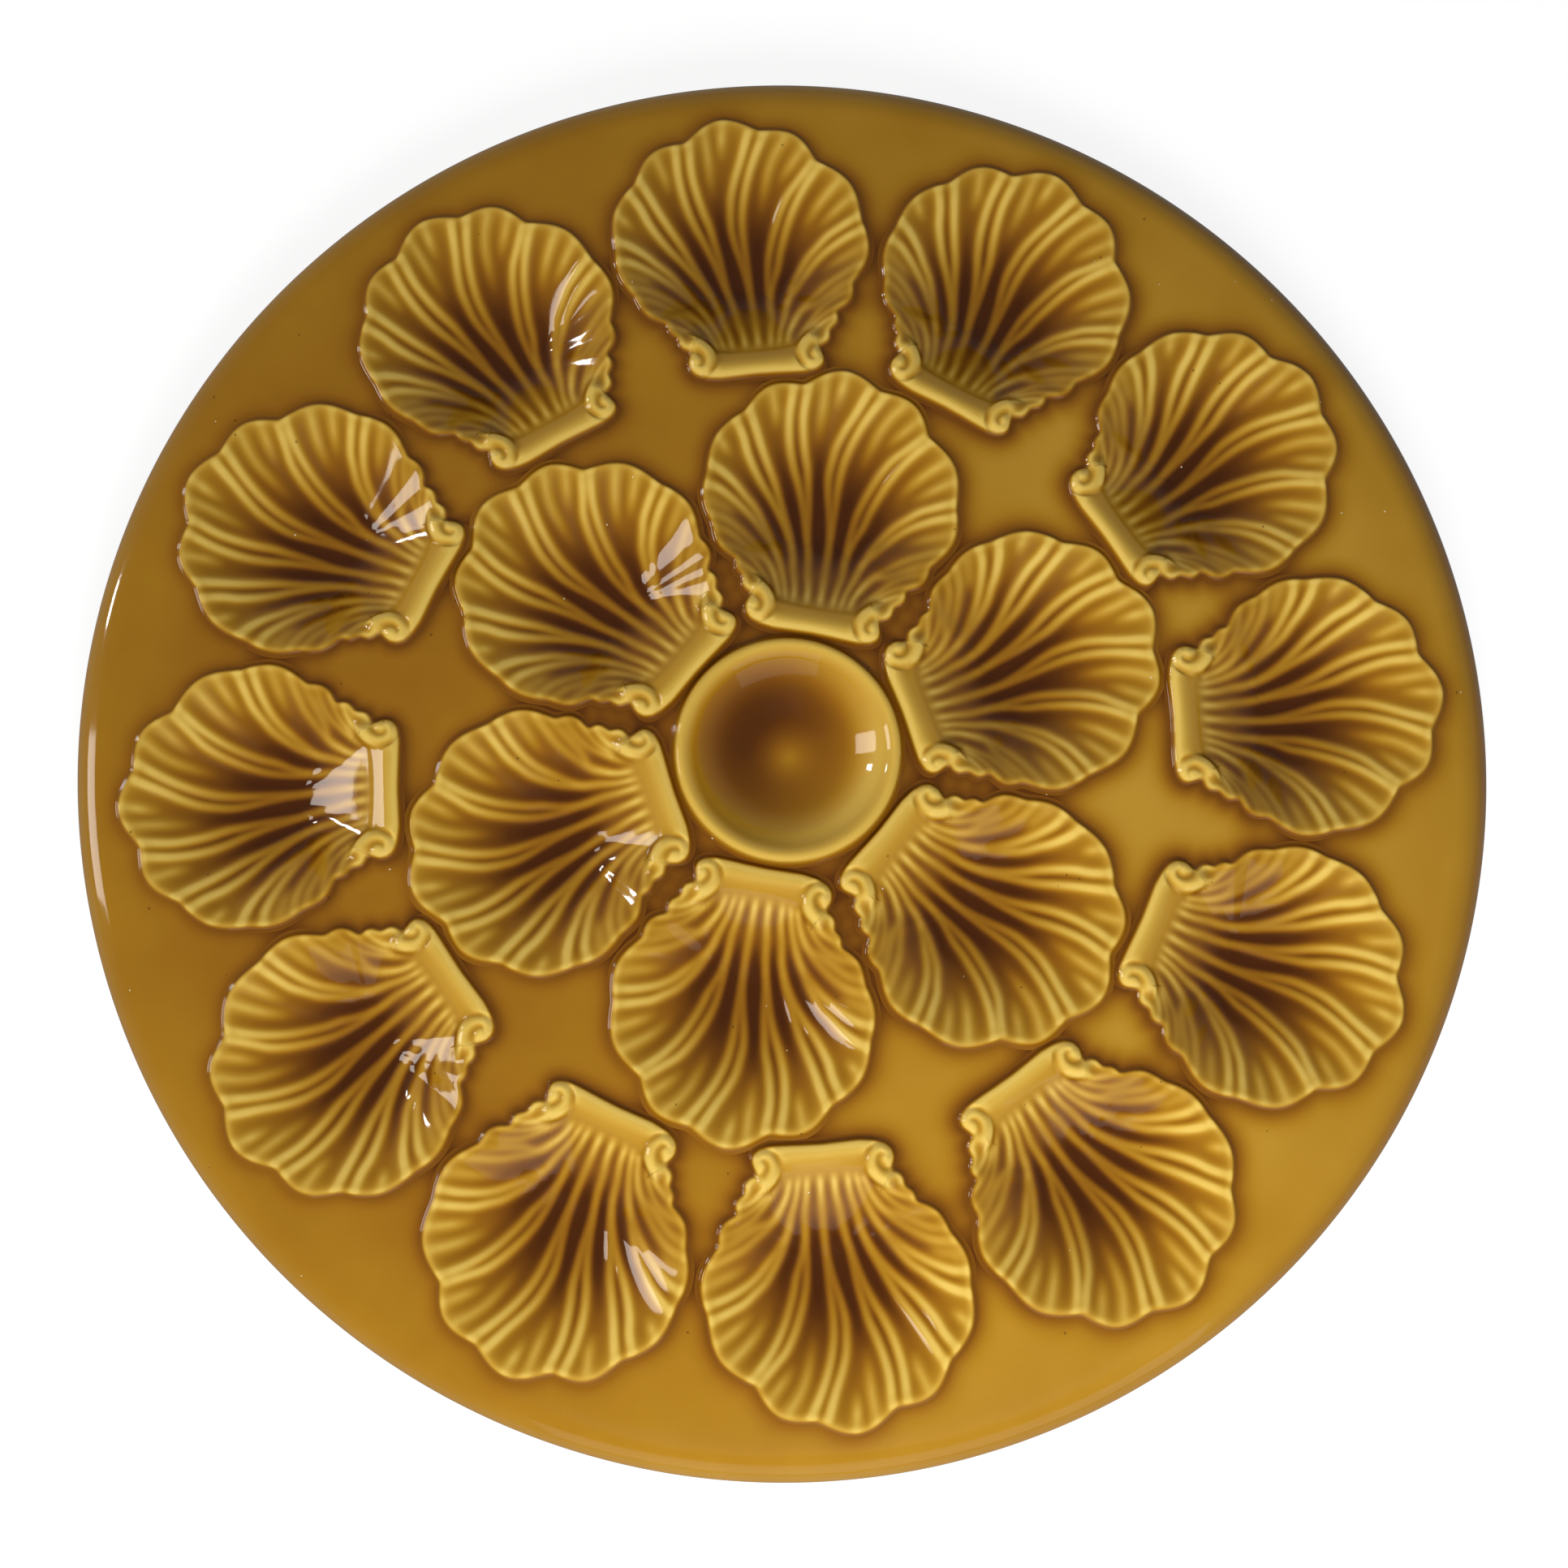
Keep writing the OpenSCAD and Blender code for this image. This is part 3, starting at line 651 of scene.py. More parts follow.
shells = {}
for cad_name, angle, radius, own_turn in shell_places:
    piece = add_object("glazed_" + cad_name, shell_mesh)
    place = ring_place(angle, radius, own_turn)
    piece.matrix_world = Matrix.Translation(place.to_translation() * MM) @ place.to_3x3().to_4x4()
    shells[cad_name] = piece
print("shells placed:", len(shells))

# %% [markdown]
# ## Plate
# The plate is thrown on a wheel: a flat field whose shoulder turns down to a round edge, all one
# thickness. Its mesh is rings again, cut open at each round seat, and under the shells its top is dented
# a little, so that it stays below their bowls. Near the shells the vertices take the shells' own glaze
# map, so that the dark line of pooled glaze runs on from the shell to the field. Painted shade and light
# drift across the field: its glaze is made thicker and darker on the left and thinner and paler on the
# right, and painted shade darkens the right side of the rim.

# %% Profile of the plate
plate_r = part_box("plate")[1][0] / MM
cup_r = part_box("sauce_cup")[1][0] / MM
plate_t, shoulder_r, shoulder_turn = 6.0, 12.0, math.radians(55)
middle_r = shoulder_r - plate_t / 2
inner_r = shoulder_r - plate_t
edge_r = plate_t / 2
shoulder_x = plate_r - edge_r - middle_r * math.sin(shoulder_turn)
edge_x = shoulder_x + middle_r * math.sin(shoulder_turn)
edge_z = -shoulder_r + middle_r * math.cos(shoulder_turn)
hole_r, outer_field_r, field_step, outer_rows, bend_rows, edge_rows = 24, 96, 1.2, 72, 12, 16
flat_radii = np.r_[np.arange(hole_r, outer_field_r, field_step),
                   np.linspace(outer_field_r, shoulder_x, outer_rows)]
bend = np.linspace(0, shoulder_turn, bend_rows)[1:]
around = np.linspace(shoulder_turn, shoulder_turn + math.pi, edge_rows)[1:-1]


def arc(x, z, radius, turns):
    """Points on an arc round a centre; a turn of 0 is straight up."""
    return [(x + radius * math.sin(a), z + radius * math.cos(a)) for a in turns]


profile = [(r, 0.0) for r in flat_radii]
profile += arc(shoulder_x, -shoulder_r, shoulder_r, bend)
profile += arc(edge_x, edge_z, edge_r, around)
profile += arc(shoulder_x, -shoulder_r, inner_r, bend[::-1])
profile += [(r, -plate_t) for r in flat_radii[::-1]]
profile = np.array(profile)
print("profile of the plate: %d points, radius %.1f mm" % (len(profile), profile[:, 0].max()))

# %% Plate with round seats
plate_columns = 900
shell_seat_r, cup_seat_in, seat_snap = 29.5, 2.5, 2.5
plate_angles = np.linspace(0, 2 * math.pi, plate_columns, endpoint=False)
flat_x = np.outer(profile[:, 0], np.cos(plate_angles)).ravel()
flat_y = np.outer(profile[:, 0], np.sin(plate_angles)).ravel()
plate_z = np.repeat(profile[:, 1], plate_columns)
seats = [(0.0, 0.0, cup_r - cup_seat_in)]
for cad_name, angle, radius, own_turn in shell_places:
    middle = ring_place(angle, radius, own_turn) @ Vector((*shell_centre, 0))
    seats.append((middle.x, middle.y, shell_seat_r))
quads = np.array(ring_faces(len(profile), plate_columns))
quad_x, quad_y = flat_x[quads].mean(1), flat_y[quads].mean(1)
open_quad = np.zeros(len(quads), bool)
for cx, cy, r in seats:
    open_quad |= np.hypot(quad_x - cx, quad_y - cy) < r
quads = quads[~open_quad]
edges = np.vstack([quads[:, [0, 1]], quads[:, [1, 2]], quads[:, [2, 3]], quads[:, [3, 0]]])
ends = np.sort(edges, axis=1).astype(np.int64)
keys = ends[:, 0] * (len(flat_x) + 1) + ends[:, 1]
back, counts = np.unique(keys, return_inverse=True, return_counts=True)[1:]
rim_edges = edges[counts[back] == 1]
on_edge = np.unique(rim_edges)
for cx, cy, r in seats:
    apart = np.hypot(flat_x[on_edge] - cx, flat_y[on_edge] - cy)
    mine = on_edge[apart < r + seat_snap]
    scale = r / np.hypot(flat_x[mine] - cx, flat_y[mine] - cy)
    flat_x[mine] = cx + (flat_x[mine] - cx) * scale
    flat_y[mine] = cy + (flat_y[mine] - cy) * scale
top_count = len(flat_radii) * plate_columns
top_edges = rim_edges[rim_edges.max(1) < top_count]
mirror_row = len(profile) - 1 - top_edges // plate_columns
below = mirror_row * plate_columns + top_edges % plate_columns
walls = np.c_[top_edges[:, 1], top_edges[:, 0], below[:, 0], below[:, 1]]
print("plate: %d quads kept, %d wall quads in the seats" % (len(quads), len(walls)))

# %% Glaze on the plate
dent_depth, dent_start, dent_full = 3.5, 0.8, 5.0
# The next line sets the painted shade and light that drift across the field: darker on the left, paler on
# the right, calmer near the rim.
shade_drift_gain, shade_drift_reach, shade_drift_hold, rim_calm = 0.13, 100, 0.08, 0.6
cup_crease, cup_crease_start, cup_crease_width, cup_crease_end = 0.30, 0.3, 2.6, 60
# Painted shade darkens the right side of the rim; the thin pale edge all round is the glaze's own.
painted_rim_shade, rim_pale, rim_in, rim_width = 0.22, 0.06, 1.5, 3.0
shade_x, shade_y = 0.97, -0.15
plate_thickest, under_plate_z, under_plate_glaze = 0.85, -5.9, field_glaze + 0.04
on_top = np.arange(len(flat_x)) < top_count
plate_glaze = np.full(len(flat_x), field_glaze)
for cad_name, angle, radius, own_turn in shell_places:
    back_place = np.array(ring_place(angle, radius, own_turn).inverted())
    lx = back_place[0, 0] * flat_x + back_place[0, 1] * flat_y + back_place[0, 3]
    ly = back_place[1, 0] * flat_x + back_place[1, 1] * flat_y + back_place[1, 3]
    near = (np.abs(lx) < map_half) & (np.abs(ly) < map_half)
    plate_glaze[near] += np.maximum(from_map(glaze_map, lx[near], ly[near]) - field_glaze, 0)
    covered = near & on_top
    inside_shell = from_map(depth_map, lx[covered], ly[covered])
    plate_z[covered] -= dent_depth * ease(dent_start, dent_full, inside_shell)
from_middle = np.hypot(flat_x, flat_y)
# Painted shade and light: the field's glaze is made thicker and darker towards -X and thinner and paler
# towards +X, less so near the rim and in the pooled creases.
calmer_rim = 1 - rim_calm * ease(150, 178, from_middle)
shade_drift = shade_drift_gain * np.clip(flat_x / shade_drift_reach, -1, 1) * calmer_rim
plate_glaze -= shade_drift * np.exp(-(plate_glaze - field_glaze) / shade_drift_hold)
off_cup = np.maximum(from_middle - cup_r - cup_crease_start, 0)
plate_glaze += cup_crease * np.exp(-off_cup / cup_crease_width) * (from_middle < cup_crease_end)
# Painted shade: the rim is given thicker, darker glaze on its right side, where the shoulder faces away
# from the light.
shaded_right_side = np.clip((shade_x * flat_x + shade_y * flat_y) / from_middle, 0, 1)
on_rim = np.exp(-(((from_middle - plate_r + rim_in) / rim_width) ** 2))
plate_glaze += on_rim * (painted_rim_shade * shaded_right_side - rim_pale)
plate_glaze = np.minimum(plate_glaze, plate_thickest)
plate_glaze[plate_z < under_plate_z] = under_plate_glaze
print("glaze on the plate: thinnest %.2f, thickest %.2f" % (plate_glaze.min(), plate_glaze.max()))

# %% Plate mesh
used = np.unique(np.r_[quads.ravel(), walls.ravel()])
renumber = np.full(len(flat_x), -1)
renumber[used] = np.arange(len(used))
plate_verts = np.c_[flat_x, flat_y, plate_z][used] + (0, 0, field_z)
plate_faces = renumber[quads].tolist() + renumber[walls].tolist()
plate_mesh = new_mesh("thrown_plate", plate_verts, plate_faces, plate_glaze[used])
plate = add_object("glazed_plate", plate_mesh)
print("plate mesh: %d vertices" % len(plate_mesh.vertices))

# %% [markdown]
# ## Sauce cup and foot ring
# Both are turned on the wheel, so each is a profile spun round the middle. The glaze is thin on the
# cup's round lip, thick in a ring round its bottom, and thin again on the very middle, where the clay
# rises a little. Painted shade darkens the ring and the wall on one side of the cup, and painted light
# pales the opposite wall. The foot ring's standing edge is wiped bare before firing, or the platter
# would stick to the kiln shelf.

# %% Helper for turned pieces
def turned(name, profile, glaze, count, hubs=None):
    """Spin a profile; hubs are the heights that close it at the middle, or None for a ring."""
    profile = np.array(profile, float)
    a = np.linspace(0, 2 * math.pi, count, endpoint=False)
    across = np.outer(profile[:, 0], np.cos(a)).ravel()
    along = np.outer(profile[:, 0], np.sin(a)).ravel()
    verts = np.c_[across, along, np.repeat(profile[:, 1], count)]
    faces = [face[::-1] for face in ring_faces(len(profile), count)]
    values = np.repeat(np.asarray(glaze, float), count)
    last = (len(profile) - 1) * count
    if hubs:
        verts = np.vstack([verts, [(0, 0, hub) for hub in hubs]])
        faces += fan_faces(last + count, 0, count, True)
        faces += fan_faces(last + count + 1, last, count, False)
        values = np.r_[values, glaze[0], glaze[-1]]
    else:
        i = np.arange(count)
        j = (i + 1) % count
        faces += np.c_[i, j, last + j, last + i].tolist()
    piece = add_object(name, new_mesh(name, verts, faces, values))
    print("%s: %d vertices" % (name, len(verts)))
    return piece


# %% Profile of the sauce cup
cup_depth, cup_wall, mouth_r, mouth_z = 10.0, 5.0, cup_r - 3.6, 1.7
cup_columns, hollow_rows, under_rows, cup_start_r = 240, 46, 20, 0.6
hollow_end, under_start, under_z, lip_step = 5.0, 4.0, -7.6, 0.3
middle_rise, middle_width = 0.25, 4.0
bottom_glaze, wall_loss = 0.44, 0.20
ring_gain, ring_r, ring_width = 0.12, 9.0, 6.5
middle_loss, middle_spot = 0.06, 3.5
cup_lip_glaze, cup_lip_loss, crown_in, crown_width, cup_foot_gain = 0.24, 0.13, 0.6, 2.2, 0.48
hollow_d = cup_depth + mouth_z
hollow_r = (mouth_r ** 2 + hollow_d ** 2) / (2 * hollow_d)
cup_profile, cup_glaze = [], []
for r in np.linspace(cup_start_r, cup_r - hollow_end, hollow_rows):
    z = hollow_r - cup_depth - math.sqrt(hollow_r ** 2 - r * r)
    cup_profile.append((r, z + middle_rise * math.exp(-((r / middle_width) ** 2))))
    pooled = ring_gain * math.exp(-(((r - ring_r) / ring_width) ** 2))
    pooled -= middle_loss * math.exp(-((r / middle_spot) ** 2))
    cup_glaze.append(bottom_glaze + pooled - wall_loss * float(ease(15.0, 26.5, r)))
cup_lip = [(-5.0, 0.15), (-3.9, 1.45), (-2.8, 2.55), (-1.9, 3.15), (-1.0, 3.42), (-0.2, 3.2),
           (0.4, 2.5), (0.75, 1.6), (1.05, 0.8), (1.5, 0.28), (2.0, 0.04), (2.3, -0.06)]
for over, z in smooth_line(cup_lip, lip_step)[2:]:
    cup_profile.append((cup_r + over, z))
    thinned = cup_lip_loss * math.exp(-(((over + crown_in) / crown_width) ** 2))
    cup_glaze.append(cup_lip_glaze - thinned + cup_foot_gain * float(ease(0.2, 1.5, over)))
under_lip = [(2.0, -0.6), (-0.5, -3.0), (-0.5, -6.05), (-1.3, -6.2), (-2.1, -6.7), (-2.9, -7.4)]
cup_profile += [(cup_r + over, z) for over, z in under_lip]
for r in np.linspace(cup_r - under_start, cup_start_r, under_rows):
    z = hollow_r - cup_depth - math.sqrt((hollow_r + cup_wall) ** 2 - r * r)
    cup_profile.append((r, min(under_z, z)))
cup_glaze += [under_glaze] * (len(under_lip) + under_rows)
cup_profile = [(r, z + field_z) for r, z in cup_profile]
cup_hubs = (cup_profile[0][1], cup_profile[-1][1])
sauce_cup = turned("glazed_sauce_cup", cup_profile, cup_glaze, cup_columns, cup_hubs)

# %% Painted shade and light on one side of the cup
# The next lines set painted shade and light in the cup: darker glaze towards one side, paler glaze on the
# opposite wall.
pool_r, pool_width, shade_ring_gain, wall_shade_gain, shade_balance = 14.5, 10.0, 0.38, 0.34, 0.62
# This direction points to the side darkened with painted shade, where the stored glaze value is made
# thickest.
cup_shade_x, cup_shade_y = -0.64, 0.77  # the direction towards the side where the glaze set thickest
cup_points = np.zeros(len(sauce_cup.data.vertices) * 3)
sauce_cup.data.vertices.foreach_get("co", cup_points)
cup_x, cup_y = (cup_points.reshape(-1, 3) / MM)[:, :2].T
from_axis = np.maximum(np.hypot(cup_x, cup_y), 0.01)
cup_shade_side = 0.5 + 0.5 * (cup_shade_y * cup_y + cup_shade_x * cup_x) / from_axis
pool_ring = np.exp(-(((from_axis - pool_r) / pool_width) ** 2))
in_hollow = ease(27.5, 24.5, from_axis)
# Painted shade: a darker ring and wall on one side of the hollow; painted light: a paler wall on the other.
painted_shade = shade_ring_gain * pool_ring * cup_shade_side
painted_shade += wall_shade_gain * ease(14.0, 24.0, from_axis) * (cup_shade_side - shade_balance)
cup_stored = sauce_cup.data.attributes["glaze"].data
cup_values = np.zeros(len(cup_x), np.float32)
cup_stored.foreach_get("value", cup_values)
cup_values += (in_hollow * painted_shade).astype(np.float32)
cup_stored.foreach_set("value", cup_values)
print("glaze in the cup: thinnest %.2f, thickest %.2f" % (cup_values.min(), cup_values.max()))

# %% Foot ring
foot_w, foot_round, foot_columns, corner_rows = 5.0, 1.25, 360, 7
foot_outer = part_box("foot_ring")[1][0] / MM
foot_inner = foot_outer - foot_w
foot_top = field_z - plate_t + 0.05
side_heights = [4, 8, 12, 16, 18.5]
flare = [(0.5, 20.0), (1.6, 20.9), (2.0, foot_top)]
flare_start, flare_glaze = 19, 0.65


def foot_corner(middle, start):
    """A quarter round at the standing edge."""
    turns = np.radians(np.linspace(start, start + 90, corner_rows))
    return [(middle + foot_round * math.cos(a), foot_round + foot_round * math.sin(a)) for a in turns]


foot_profile = foot_corner(foot_inner + foot_round, 180) + foot_corner(foot_outer - foot_round, 270)
foot_profile += [(foot_outer, z) for z in side_heights]
foot_profile += [(foot_outer + over, z) for over, z in flare]
foot_profile += [(foot_inner - over, z) for over, z in flare[::-1]]
foot_profile += [(foot_inner, z) for z in side_heights[::-1]]
foot_glaze = [flare_glaze if z > flare_start else under_glaze for r, z in foot_profile]
foot_ring = turned("glazed_foot_ring", foot_profile, foot_glaze, foot_columns)

# %% [markdown]
# ## The glaze's colour
# Honey glaze is coloured glass over pale clay. Light goes through it twice, so the colour falls off with
# thickness: pale yellow on edges, amber on the field, brown in the pools. A colour ramp over the stored
# thickness says that in one node. It is a node group because four materials use it, and each passes
# its own values. Slow noise moves the thickness a little, because no dip coat is even.

# %% Node group for the honey colour
def node(tree, kind, x, y, **settings):
    made = tree.nodes.new(kind)
    made.location = (x, y)
    for key, value in settings.items():
        setattr(made, key, value)
    return made


def new_group(name, inputs, outputs):
    tree = bpy.data.node_groups.new(name, "ShaderNodeTree")
    for label, kind, default in inputs:
        socket = tree.interface.new_socket(name=label, in_out="INPUT", socket_type=kind)
        if default is not None:
            socket.default_value = default
    for label, kind in outputs:
        tree.interface.new_socket(name=label, in_out="OUTPUT", socket_type=kind)
    return tree, node(tree, "NodeGroupInput", -900, 0), node(tree, "NodeGroupOutput", 700, 0)


def math_node(tree, operation, a, b, x=0, y=0):
    made = node(tree, "ShaderNodeMath", x, y, operation=operation)
    for socket, value in zip(made.inputs, (a, b)):
        if isinstance(value, (int, float)):
            socket.default_value = value
        else:
            tree.links.new(value, socket)
    return made.outputs[0]


honey, inside, outside = new_group(
    "honey_glaze_colour",
    [("Place", "NodeSocketVector", None), ("Thickness", "NodeSocketFloat", 0.4),
     ("Unevenness", "NodeSocketFloat", 0.05)],
    [("Colour", "NodeSocketColor")])
clouds = node(honey, "ShaderNodeTexNoise", -650, -150)
clouds.inputs["Scale"].default_value = 26.0
clouds.inputs["Detail"].default_value = 3.0
clouds.inputs["Roughness"].default_value = 0.55
honey.links.new(inside.outputs["Place"], clouds.inputs["Vector"])
centred = math_node(honey, "SUBTRACT", clouds.outputs["Fac"], 0.5, -450, -150)
shifted = math_node(honey, "MULTIPLY", centred, inside.outputs["Unevenness"], -250, -150)
thickness = math_node(honey, "ADD", inside.outputs["Thickness"], shifted, -50, 0)
ramp = node(honey, "ShaderNodeValToRGB", 200, 0)
honey_stops = [(0.00, (0.76, 0.52, 0.11)), (0.12, (0.65, 0.41, 0.066)), (0.25, (0.52, 0.285, 0.029)),
               (0.40, (0.40, 0.196, 0.011)), (0.55, (0.29, 0.117, 0.0055)), (0.70, (0.185, 0.063, 0.003)),
               (0.85, (0.105, 0.030, 0.0014)), (1.00, (0.07, 0.017, 0.001))]
while len(ramp.color_ramp.elements) < len(honey_stops):
    ramp.color_ramp.elements.new(0.5)
for element, (position, colour) in zip(ramp.color_ramp.elements, honey_stops):
    element.position = position
    element.color = (*colour, 1.0)
honey.links.new(thickness, ramp.inputs["Fac"])
honey.links.new(ramp.outputs["Color"], outside.inputs["Colour"])
print("honey ramp with", len(ramp.color_ramp.elements), "stops")

# %% [markdown]
# ## Specks and the skin of the glaze
# Close up, a fired glaze has pinholes and a few dark iron specks, and its skin is never quite flat, so
# that reflections wobble. Cells of a Voronoi texture place the specks, and two sizes of noise make the
# skin. The group puts out masks for dark specks and pale dust, a height for the bump and a roughness.

# %% Node group for specks and skin
skin, inside, outside = new_group(
    "fired_skin",
    [("Place", "NodeSocketVector", None), ("Speck size", "NodeSocketFloat", 0.09),
     ("Gloss", "NodeSocketFloat", 0.07)],
    [("Specks", "NodeSocketFloat"), ("Dust", "NodeSocketFloat"), ("Height", "NodeSocketFloat"),
     ("Roughness", "NodeSocketFloat")])
speck_limit, dust_limit, dust_size = 0.95, 0.035, 0.7
grain_height, pit_depth, gloss_change = 0.04, 0.25, 0.05
cells = node(skin, "ShaderNodeTexVoronoi", -650, 200)
cells.inputs["Scale"].default_value = 260.0
skin.links.new(inside.outputs["Place"], cells.inputs["Vector"])
chosen = node(skin, "ShaderNodeTexWhiteNoise", -450, 350, noise_dimensions="3D")
skin.links.new(cells.outputs["Position"], chosen.inputs["Vector"])
few = math_node(skin, "GREATER_THAN", chosen.outputs["Value"], speck_limit, -250, 350)
dot = math_node(skin, "LESS_THAN", cells.outputs["Distance"], inside.outputs["Speck size"], -250, 150)
specks = math_node(skin, "MULTIPLY", few, dot, -50, 250)
fewer = math_node(skin, "LESS_THAN", chosen.outputs["Value"], dust_limit, -250, 550)
smaller = math_node(skin, "MULTIPLY", inside.outputs["Speck size"], dust_size, -450, 550)
small_dot = math_node(skin, "LESS_THAN", cells.outputs["Distance"], smaller, -250, 450)
dust = math_node(skin, "MULTIPLY", fewer, small_dot, -50, 500)
waves = node(skin, "ShaderNodeTexNoise", -650, -100)
waves.inputs["Scale"].default_value = 70.0
waves.inputs["Detail"].default_value = 1.0
skin.links.new(inside.outputs["Place"], waves.inputs["Vector"])
grain = node(skin, "ShaderNodeTexNoise", -650, -300)
grain.inputs["Scale"].default_value = 900.0
grain.inputs["Detail"].default_value = 1.0
skin.links.new(inside.outputs["Place"], grain.inputs["Vector"])
fine_grain = math_node(skin, "MULTIPLY", grain.outputs["Fac"], grain_height, -450, -300)
height = math_node(skin, "ADD", waves.outputs["Fac"], fine_grain, -250, -150)
pitted = math_node(skin, "MULTIPLY", specks, pit_depth, -250, -300)
height = math_node(skin, "SUBTRACT", height, pitted, -50, -150)
dull = math_node(skin, "MULTIPLY", waves.outputs["Fac"], gloss_change, -250, -450)
roughness = math_node(skin, "ADD", inside.outputs["Gloss"], dull, -50, -400)
skin.links.new(specks, outside.inputs["Specks"])
skin.links.new(dust, outside.inputs["Dust"])
skin.links.new(height, outside.inputs["Height"])
skin.links.new(roughness, outside.inputs["Roughness"])
print("skin group with", len(skin.nodes), "nodes")

# %% [markdown]
# ## Glaze materials
# Each piece's material reads the stored thickness, asks the honey group for a colour, lays dark specks
# and a few pale dots over it, and takes its roughness and bump from the skin group. The shader is one
# Principled BSDF with a glass-like surface over the colour. On the foot ring a mask by height shows the
# bare clay edge.

# %% Materials
speck_colour, dust_colour, clay_colour = (0.05, 0.018, 0.004), (0.72, 0.62, 0.42), (0.62, 0.50, 0.36)
speck_strength, clay_roughness, bump_height = 0.6, 0.7, 0.001
piece_offset = (0.7, 1.3, 1.9)  # moves the noise from piece to piece, so that specks differ on each
bare_full = 0.7


def laid_over(tree, under, colour, mask, x, y):
    """A plain colour over another one, where the mask is 1."""
    made = node(tree, "ShaderNodeMix", x, y, data_type="RGBA")
    made.inputs["B"].default_value = (*colour, 1)
    tree.links.new(mask, made.inputs["Factor"])
    tree.links.new(under, made.inputs["A"])
    return made.outputs["Result"]


def bare_edge(tree, position, base, rough, bare_below):
    """Colour and roughness with bare clay below a height."""
    split = node(tree, "ShaderNodeSeparateXYZ", -600, -450)
    tree.links.new(position, split.inputs["Vector"])
    bare = node(tree, "ShaderNodeMapRange", -400, -450)
    bare.inputs["From Min"].default_value = bare_below
    bare.inputs["From Max"].default_value = bare_below * bare_full
    tree.links.new(split.outputs["Z"], bare.inputs["Value"])
    clay = laid_over(tree, base, clay_colour, bare.outputs["Result"], 0, 200)
    matt = math_node(tree, "MULTIPLY", bare.outputs["Result"], clay_roughness, -200, -450)
    return clay, math_node(tree, "ADD", rough, matt, 0, -300)


def glaze_material(name, unevenness, gloss, bump, bare_below=None):
    material = bpy.data.materials.new(name)
    material.use_nodes = True
    tree = material.node_tree
    shader = tree.nodes["Principled BSDF"]
    shader.location = (500, 0)
    shader.inputs["IOR"].default_value = 1.5
    stored = node(tree, "ShaderNodeAttribute", -900, 100, attribute_name="glaze")
    place = node(tree, "ShaderNodeTexCoord", -1100, -200)
    info = node(tree, "ShaderNodeObjectInfo", -1100, -450)
    spread = node(tree, "ShaderNodeVectorMath", -900, -250, operation="MULTIPLY_ADD")
    tree.links.new(info.outputs["Random"], spread.inputs[0])
    spread.inputs[1].default_value = piece_offset
    tree.links.new(place.outputs["Object"], spread.inputs[2])
    colour = node(tree, "ShaderNodeGroup", -600, 150, node_tree=honey)
    colour.inputs["Unevenness"].default_value = unevenness
    tree.links.new(spread.outputs["Vector"], colour.inputs["Place"])
    tree.links.new(stored.outputs["Fac"], colour.inputs["Thickness"])
    fired = node(tree, "ShaderNodeGroup", -600, -150, node_tree=skin)
    fired.inputs["Gloss"].default_value = gloss
    tree.links.new(spread.outputs["Vector"], fired.inputs["Place"])
    faint = math_node(tree, "MULTIPLY", fired.outputs["Specks"], speck_strength, -450, 0)
    base = laid_over(tree, colour.outputs["Colour"], speck_colour, faint, -300, 150)
    base = laid_over(tree, base, dust_colour, fired.outputs["Dust"], -150, 250)
    rough = fired.outputs["Roughness"]
    if bare_below is not None:
        base, rough = bare_edge(tree, place.outputs["Object"], base, rough, bare_below)
    lumps = node(tree, "ShaderNodeBump", 200, -250)
    lumps.inputs["Strength"].default_value = bump
    lumps.inputs["Distance"].default_value = bump_height
    tree.links.new(fired.outputs["Height"], lumps.inputs["Height"])
    tree.links.new(base, shader.inputs["Base Color"])
    tree.links.new(rough, shader.inputs["Roughness"])
    tree.links.new(lumps.outputs["Normal"], shader.inputs["Normal"])
    return material


finishes = {
    "field_glaze": glaze_material("honey_glaze_field", unevenness=0.16, gloss=0.05, bump=0.10),
    "shell_glaze": glaze_material("honey_glaze_shell", unevenness=0.10, gloss=0.05, bump=0.12),
    "cup_glaze": glaze_material("honey_glaze_cup", unevenness=0.08, gloss=0.04, bump=0.08),
    "foot_glaze": glaze_material("honey_glaze_foot", unevenness=0.12, gloss=0.07, bump=0.12,
                                 bare_below=0.0016),
}
print("materials:", ", ".join(m.name for m in finishes.values()))

# %% [markdown]
# ## Join the pieces to the frame
# Every piece rides on the imported model's one body and stands for the CAD node in the same place,
# which is hidden.

# %% Pieces on the frame
shell_mesh.materials.append(finishes["shell_glaze"])
plate.data.materials.append(finishes["field_glaze"])
sauce_cup.data.materials.append(finishes["cup_glaze"])
foot_ring.data.materials.append(finishes["foot_glaze"])
dressed = [(plate, "plate", "field_glaze"), (foot_ring, "foot_ring", "foot_glaze"),
           (sauce_cup, "sauce_cup", "cup_glaze")]
dressed += [(piece, name, "shell_glaze") for name, piece in shells.items()]
for piece, name, finish in dressed:
    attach(piece, "root")
    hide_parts(name)
print("pieces on the frame:", len(dressed))

# %% [markdown]
# ## Floor and light
# The photograph has a white ground and daylight from a window on the left. A floor takes the soft shadow
# and glows for the camera, so that it stays white without more light on the glaze, and the room behind
# it is white for the camera in the same way. Mirrored rays see only a small share of that white, because
# whatever hangs above a glossy plate is mirrored in it. Two small lamps on the left make the glints in
# the bowls, a long low one in front makes the haze in the cup, and two more, hidden from reflections,
# give the soft light from the front and from the sky.

# %% Floor
mirror_share = 0.12
floor_colour, floor_glow, floor_half = 0.26, 0.86, 4


def seen_white(tree, x, y):
    """1 for the camera's own rays, a small share for mirrored ones, 0 for light on the object."""
    path = node(tree, "ShaderNodeLightPath", x, y)
    glossy, through = path.outputs["Is Glossy Ray"], path.outputs["Is Transmission Ray"]
    mirrored = math_node(tree, "MAXIMUM", glossy, through, x + 150, y - 100)
    dimmed = math_node(tree, "MULTIPLY", mirrored, mirror_share, x + 300, y - 100)
    return math_node(tree, "MAXIMUM", path.outputs["Is Camera Ray"], dimmed, x + 450, y)


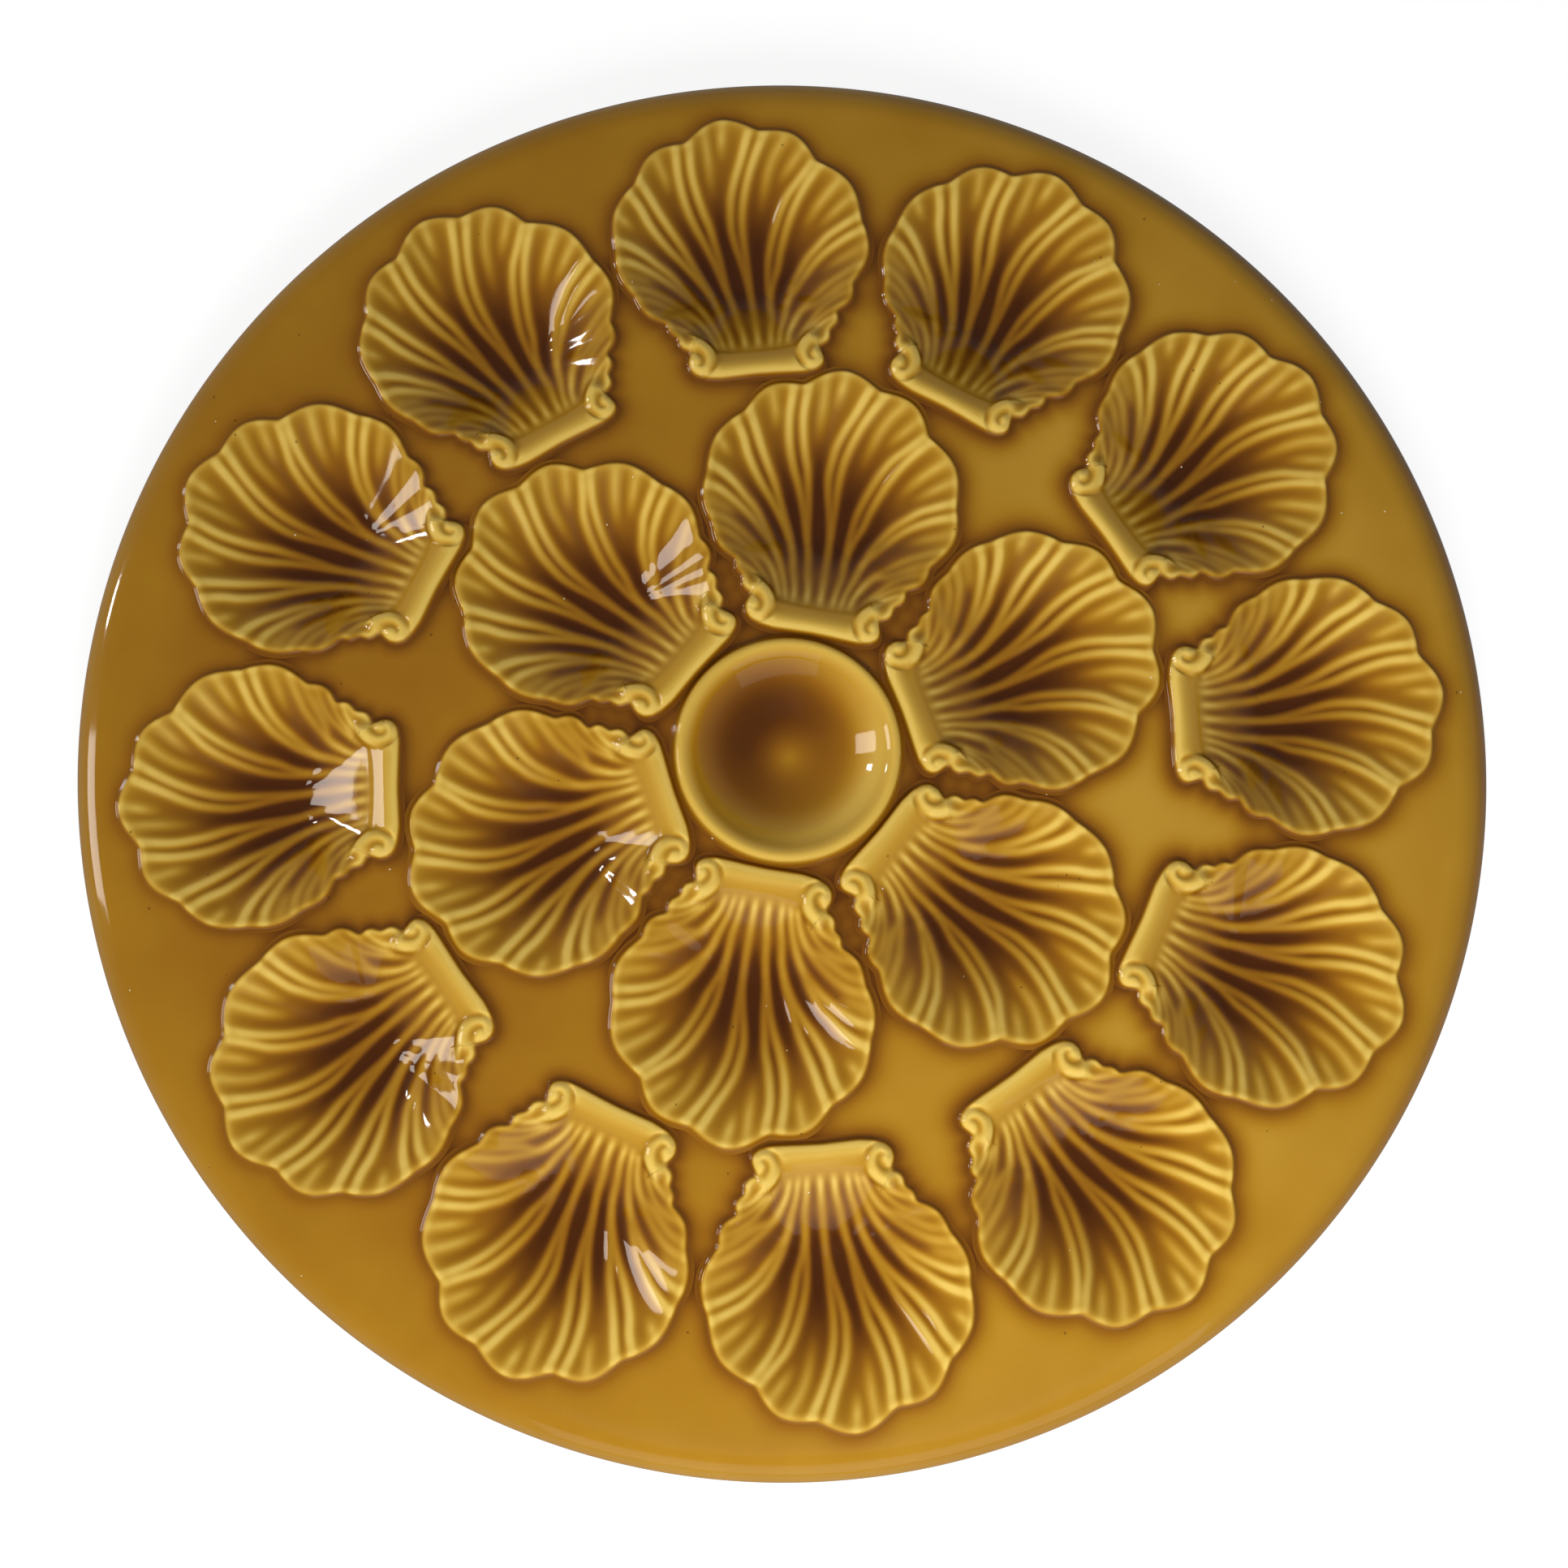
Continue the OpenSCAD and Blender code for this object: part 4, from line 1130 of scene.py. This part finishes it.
floor_mesh = bpy.data.meshes.new("white_floor")
floor_corners = [(-floor_half, -floor_half, 0), (floor_half, -floor_half, 0),
                 (floor_half, floor_half, 0), (-floor_half, floor_half, 0)]
floor_mesh.from_pydata(floor_corners, [], [(0, 1, 2, 3)])
floor = add_object("white_floor", floor_mesh)
paper = bpy.data.materials.new("white_paper")
paper.use_nodes = True
tree = paper.node_tree
shader = tree.nodes["Principled BSDF"]
shader.inputs["Base Color"].default_value = (floor_colour, floor_colour, floor_colour, 1)
shader.inputs["Roughness"].default_value = 0.9
shader.inputs["Specular IOR Level"].default_value = 0.0
shader.inputs["Emission Color"].default_value = (1, 1, 1, 1)
glow = math_node(tree, "MULTIPLY", seen_white(tree, -700, 0), floor_glow, -100, 0)
tree.links.new(glow, shader.inputs["Emission Strength"])
floor_mesh.materials.append(paper)
print("floor: %d m wide" % (2 * floor_half))

# %% Lamps
platter_middle = (0, 0, 0.02)


def soft_lamp(name, place, width, height, watts, colour=(1, 1, 1), mirrored=True):
    data = bpy.data.lights.new(name, "AREA")
    data.shape = "RECTANGLE"
    data.size, data.size_y = width, height
    data.energy = watts
    data.color = colour
    lamp = add_object(name, data)
    lamp.location = place
    toward = Vector(platter_middle) - Vector(place)
    lamp.rotation_euler = toward.to_track_quat("-Z", "Y").to_euler()
    lamp.visible_glossy = mirrored


warm_white, warmer_white, pale_wall = (1.0, 0.98, 0.96), (1.0, 0.92, 0.84), (1.0, 0.97, 0.93)
soft_lamp("window_lamp", (-1.16, 0.52, 0.29), width=0.09, height=0.12, watts=1.2, colour=warm_white)
soft_lamp("pane_lamp", (-1.28, 0.14, 0.46), width=0.34, height=0.50, watts=3.6, colour=warmer_white)
soft_lamp("wall_lamp", (0.1, -1.25, 0.33), width=1.5, height=0.55, watts=1.5, colour=pale_wall)
soft_lamp("front_lamp", (0.02, -0.37, 0.48), width=0.35, height=0.25, watts=3.2, mirrored=False)
soft_lamp("sky_lamp", (-1.9, 1.3, 1.3), width=1.2, height=1.0, watts=11.0, mirrored=False)

# %% World
wall_light, ceiling_light = 0.22, 0.08
wall_top, ceiling_start = 0.3, 0.6
world = bpy.data.worlds.new("dim_room")
bpy.context.scene.world = world
world.use_nodes = True
tree = world.node_tree
background = tree.nodes["Background"]
background.inputs["Color"].default_value = (0.98, 0.99, 1.0, 1)
direction = node(tree, "ShaderNodeTexCoord", -800, 0)
parts = node(tree, "ShaderNodeSeparateXYZ", -600, 0)
tree.links.new(direction.outputs["Generated"], parts.inputs["Vector"])
dimming = node(tree, "ShaderNodeMapRange", -400, 0, interpolation_type="SMOOTHSTEP")
dimming.inputs["From Min"].default_value = wall_top
dimming.inputs["From Max"].default_value = ceiling_start
dimming.inputs["To Min"].default_value = wall_light
dimming.inputs["To Max"].default_value = ceiling_light
tree.links.new(parts.outputs["Z"], dimming.inputs["Value"])
seen = seen_white(tree, -800, -300)
strength = math_node(tree, "MAXIMUM", dimming.outputs["Result"], seen, -150, 0)
tree.links.new(strength, background.inputs["Strength"])
bpy.context.scene.view_settings.view_transform = "Standard"
print("world: %.2f at the walls, %.2f overhead" % (wall_light, ceiling_light))
